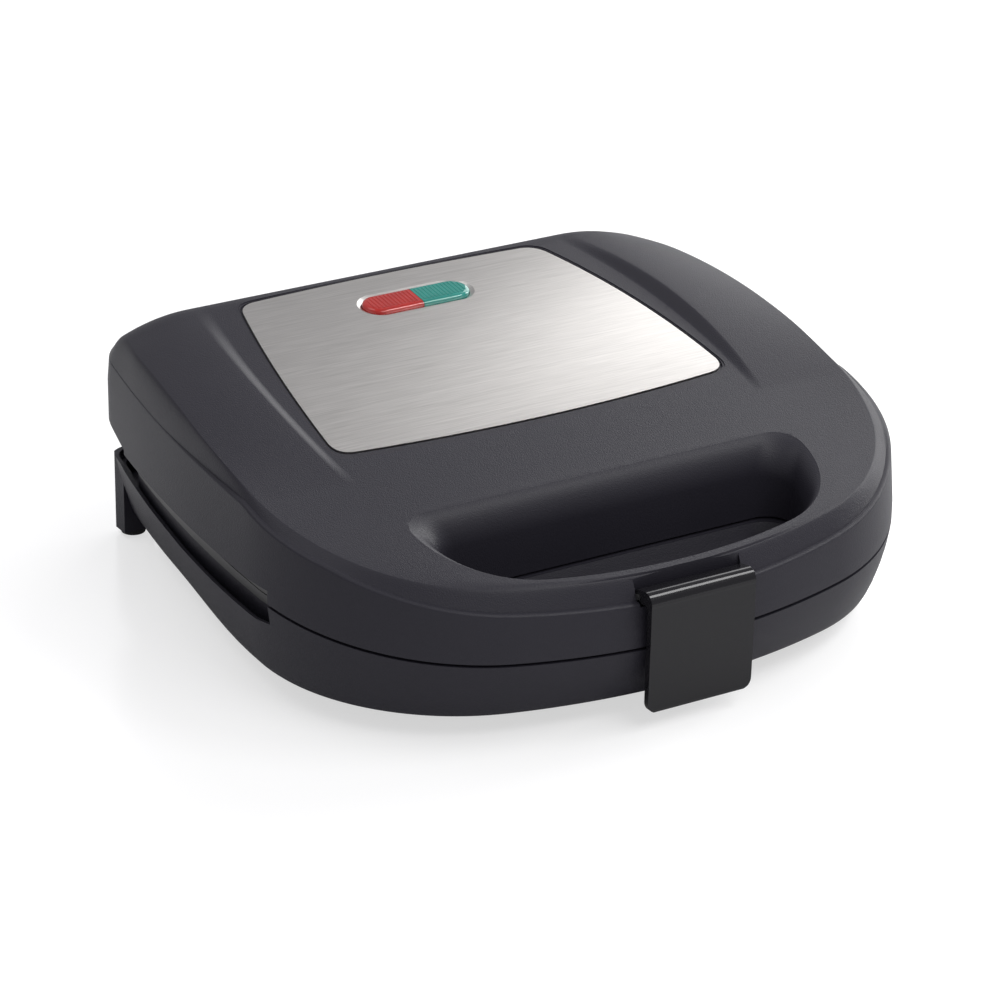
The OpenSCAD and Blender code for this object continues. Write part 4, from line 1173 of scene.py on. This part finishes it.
def lens_rib(x):
    """A rounded bar across the lens, shorter where the lens narrows."""
    flat, reach = (lens_w - lens_d) / 2, lens_d / 2 - rib_end
    if abs(x) > flat:
        reach = math.sqrt(max(rib_shortest, (lens_d / 2 - rib_round_end) ** 2 - (abs(x) - flat) ** 2))
    crown = [(x + rib_w * math.cos(a), rib_z + rib_h * math.sin(a)) for a in np.linspace(0, math.pi, 9)]
    rib = [(crown[0][0], rib_low_z)] + crown + [(crown[-1][0], rib_low_z)]
    return skin_rings("rib", [[(px, y, pz) for px, pz in rib] for y in (-reach, reach)])


def lens_piece(name, side):
    """One half of the stadium, with its flange and ribs."""
    cap = stadium_rings(name, lens_w, lens_d, lens_levels)
    flange = stadium(window_w + flange_out, window_d + flange_out)
    join(cap, post_z("flange", flange, -lens_foot - 1.2, -lens_foot - 0.15))
    for i in range(rib_count):
        join(cap, lens_rib(side * (rib_start + i * rib_pitch)))
    x0, x1 = sorted((side * parted, side * (past_z + parted)))
    return on_bow(keep_inside(cap, box_at("half", (x0, -60, -30), (x1, 60, 30))))


dressed(lens_piece("power_lens_cap", -1), "lid", red_lens, "red_lens", "power_lens", soften=0.08)
dressed(lens_piece("ready_lens_cap", 1), "lid", green_lens, "green_lens", "ready_lens", soften=0.08)

# %% [markdown]
# ## The latch
# A polished clip that hangs from a pin: a barrel, a shoulder that rolls over the lid's edge, and a flat
# tongue with two round corners. Its side view is drawn once and carried across its width, and a bevel softens
# every edge. The pin is short: it ends just inside the lid on both sides.

# %% Latch
latch_front, latch_low, latch_t, shoulder_r = -112, 5.6, 2.2, 3.6
tooth_w, tongue_corner_r, pin_out = 10, 4, 0.7


def latch_view():
    """The clip's side view as (y, z) points, from the barrel over the shoulder and down the tongue."""
    front, low, back = latch_front, latch_low, latch_front + latch_t
    view = [(latch_y, latch_z + barrel_r), (latch_y - 2, latch_z + barrel_r + 0.45)]
    start, end = math.radians(80), math.radians(194)
    view += arc((front + shoulder_r, latch_z - 0.4), shoulder_r, start, end, 24, last=True)
    view += [(front + 0.1, 34), (front + 0.75, 12), (front + 0.9, low + 1.2), (front + 1.2, low + 0.3),
             (front + 1.9, low), (back + 0.5, low + 0.2), (back + 0.9, low + 1.2), (back + 0.2, 39.8),
             (back + 0.9, 42), (latch_y - 1.6, latch_z - barrel_r + 0.7), (latch_y, latch_z - barrel_r + 0.4)]
    return view


def tongue_corner(side):
    """What is cut away to round one lower corner of the tongue."""
    r = tongue_corner_r
    centre, low = side * (latch_w - r), latch_low
    start, end = (0, -math.pi / 2) if side > 0 else (math.pi, 1.5 * math.pi)
    edge = [(centre + side * 6, low - 2), (centre + side * 6, low + r), (centre + side * r, low + r)]
    edge += arc((centre, low + r), r, start, end, 10, last=True)
    edge += [(centre, low - 2)]
    return skin_rings("corner", [[(x, y, z) for x, z in edge] for y in (-130, -90)])


def latch_clip():
    clip = bar_x("latch", latch_view(), -latch_w, latch_w)
    join(clip, bar_x("barrel", circle(latch_y, latch_z, barrel_r), -latch_w, latch_w))
    tooth = [(latch_front + 2, 11), (-107.9, 12.6), (-107.6, 14.2), (-107.7, 14.8), (latch_front + 2, 14.8)]
    join(clip, bar_x("tooth", tooth, -tooth_w, tooth_w))
    bore = circle(latch_y, latch_z, latch_pin_r + bore_gap, 32)
    cut(clip, bar_x("bore", bore, -latch_w - 1, latch_w + 1))
    for side in (-1, 1):
        cut(clip, tongue_corner(side))
    return clip


def latch_pin():
    return bar_x("pin", circle(latch_y, latch_z, latch_pin_r, 32), -latch_w - pin_out, latch_w + pin_out)


dressed(latch_clip(), "latch", gloss, "gloss", "latch_clip", soften=0.45, steps=3, sharp=40)
dressed(latch_pin(), "lid", dark_pin, "pin", "latch_pin", sharp=60)

# %% [markdown]
# ## Finishes on the remaining solids
# The grip cover, hinge pins, screws, tubes, sheets and blocks are right as they are, so each only gets its
# finish.

# %% Finishes by node
node_finish = {
    "lid_grip_cover": shell, "lower_element": tube_steel, "upper_element": tube_steel,
    "lower_reflector": sheet_metal, "upper_reflector": sheet_metal, "lower_plate_screws": wire,
    "upper_plate_screws": wire, "terminal_block": ceramic, "lamp_holder": ceramic, "thermostat": ceramic,
    "thermal_fuse": wire, "neon_lamps": glass, "hinge_pin_left": wire, "hinge_pin_right": wire}
for node, finish in node_finish.items():
    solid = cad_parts[node]
    solid.data.materials.clear()
    solid.data.materials.append(finish)
print("finished solids", len(node_finish))

# %% [markdown]
# ## Table and background
# A white table that keeps only a soft shadow. To the camera, straight or through the clear lenses, it adds a
# glow to the light that falls on it, so that it reads as white and still shows the shadow, and a weak sheen
# gives it the faint mirror of a glazed board. To everything else it is plain pale board, which lifts the
# underside as a real table does.

# %% Table
table_half, table_glow, sheen_rough = 4000, 0.61, 0.2


def grey(tone):
    return (tone, tone, tone, 1)


def table_finish():
    finish = Finish("white_table")
    straight = finish.node("ShaderNodeLightPath", out="Is Camera Ray")
    seen = straight + finish.node("ShaderNodeLightPath", out="Is Transmission Ray")
    board = finish.node("ShaderNodeBsdfDiffuse", {}, {"Color": grey(0.8)}, out="BSDF")
    shade = finish.node("ShaderNodeBsdfDiffuse", {}, {"Color": grey(0.42)}, out="BSDF")
    glow = finish.node("ShaderNodeEmission", {}, {"Color": grey(1), "Strength": table_glow}, out="Emission")
    sheen_sockets = {"Color": grey(0.2), "Roughness": sheen_rough}
    sheen = finish.node("ShaderNodeBsdfAnisotropic", {}, sheen_sockets, out="BSDF")
    polished = finish.node("ShaderNodeAddShader", {}, {0: shade, 1: sheen})
    white = finish.node("ShaderNodeAddShader", {}, {0: polished, 1: glow})
    return finish.finish_with(finish.node("ShaderNodeMixShader", {}, {0: seen, 1: board, 2: white}))


table_corners = [(x * table_half, y * table_half, 0) for x, y in ((-1, -1), (1, -1), (1, 1), (-1, 1))]
table = piece_of("table", table_corners, [[0, 1, 2, 3]])
table.data.materials.append(table_finish())

# %% [markdown]
# ## The white room
# Black plastic shows little but its surroundings, so what looks grey is the room in its gloss. The room is
# pure white to the camera, for the background, and a soft grey to everything it lights.

# %% Room
def white_room():
    room = Finish("white_room", world=True)
    seen = room.node("ShaderNodeLightPath", out="Is Camera Ray")
    lit = room.node("ShaderNodeBackground", {}, {"Color": (0.43, 0.43, 0.445, 1)}, out="Background")
    white = room.node("ShaderNodeBackground", {}, {"Color": grey(1)}, out="Background")
    return room.finish_with(room.node("ShaderNodeMixShader", {}, {0: seen, 1: lit, 2: white}))


bpy.context.scene.world = white_room()

# %% [markdown]
# ## Lamps
# Five soft rectangles. One behind to the right brightens the faces that turn away, and one low at the right
# draws the rim on that side. One above the left lights the crests, a large one over the front fills the
# walls and the pocket, and a narrow strip high at the front right gives the latch and the panel their glints.

# %% Lamps
def soft_lamp(name, place, aim, size, power):
    data = bpy.data.lights.new(name, "AREA")
    data.shape = "RECTANGLE"
    data.size, data.size_y = size
    data.energy = power
    lamp = bpy.data.objects.new(name, data)
    way = Vector(aim) - Vector(place)
    lamp.matrix_world = Matrix.Translation(place) @ way.to_track_quat("-Z", "Y").to_matrix().to_4x4()
    bpy.context.scene.collection.objects.link(lamp)
    print(name, "at", place)


soft_lamp("rear_right_softbox", (0.82, 0.53, 0.48), (0.03, 0, 0.05), (0.62, 0.7), 3.6)
soft_lamp("overhead_left_softbox", (-0.5, 0.35, 1.3), (0, 0, 0.05), (0.9, 0.7), 3)
soft_lamp("front_fill_softbox", (0.25, -1.0, 1.25), (0, -0.05, 0.03), (0.9, 0.6), 7)
soft_lamp("high_strip", (0.616, -0.347, 1.09), (0, -0.05, 0.03), (0.5, 0.2), 3.5)
soft_lamp("right_rim_softbox", (1.3, 0.1, 0.55), (0.05, -0.02, 0.06), (0.35, 0.9), 8)

# %% [markdown]
# ## Final update
# The view layer is updated once more at the end.

# %% Final update
bpy.context.view_layer.update()
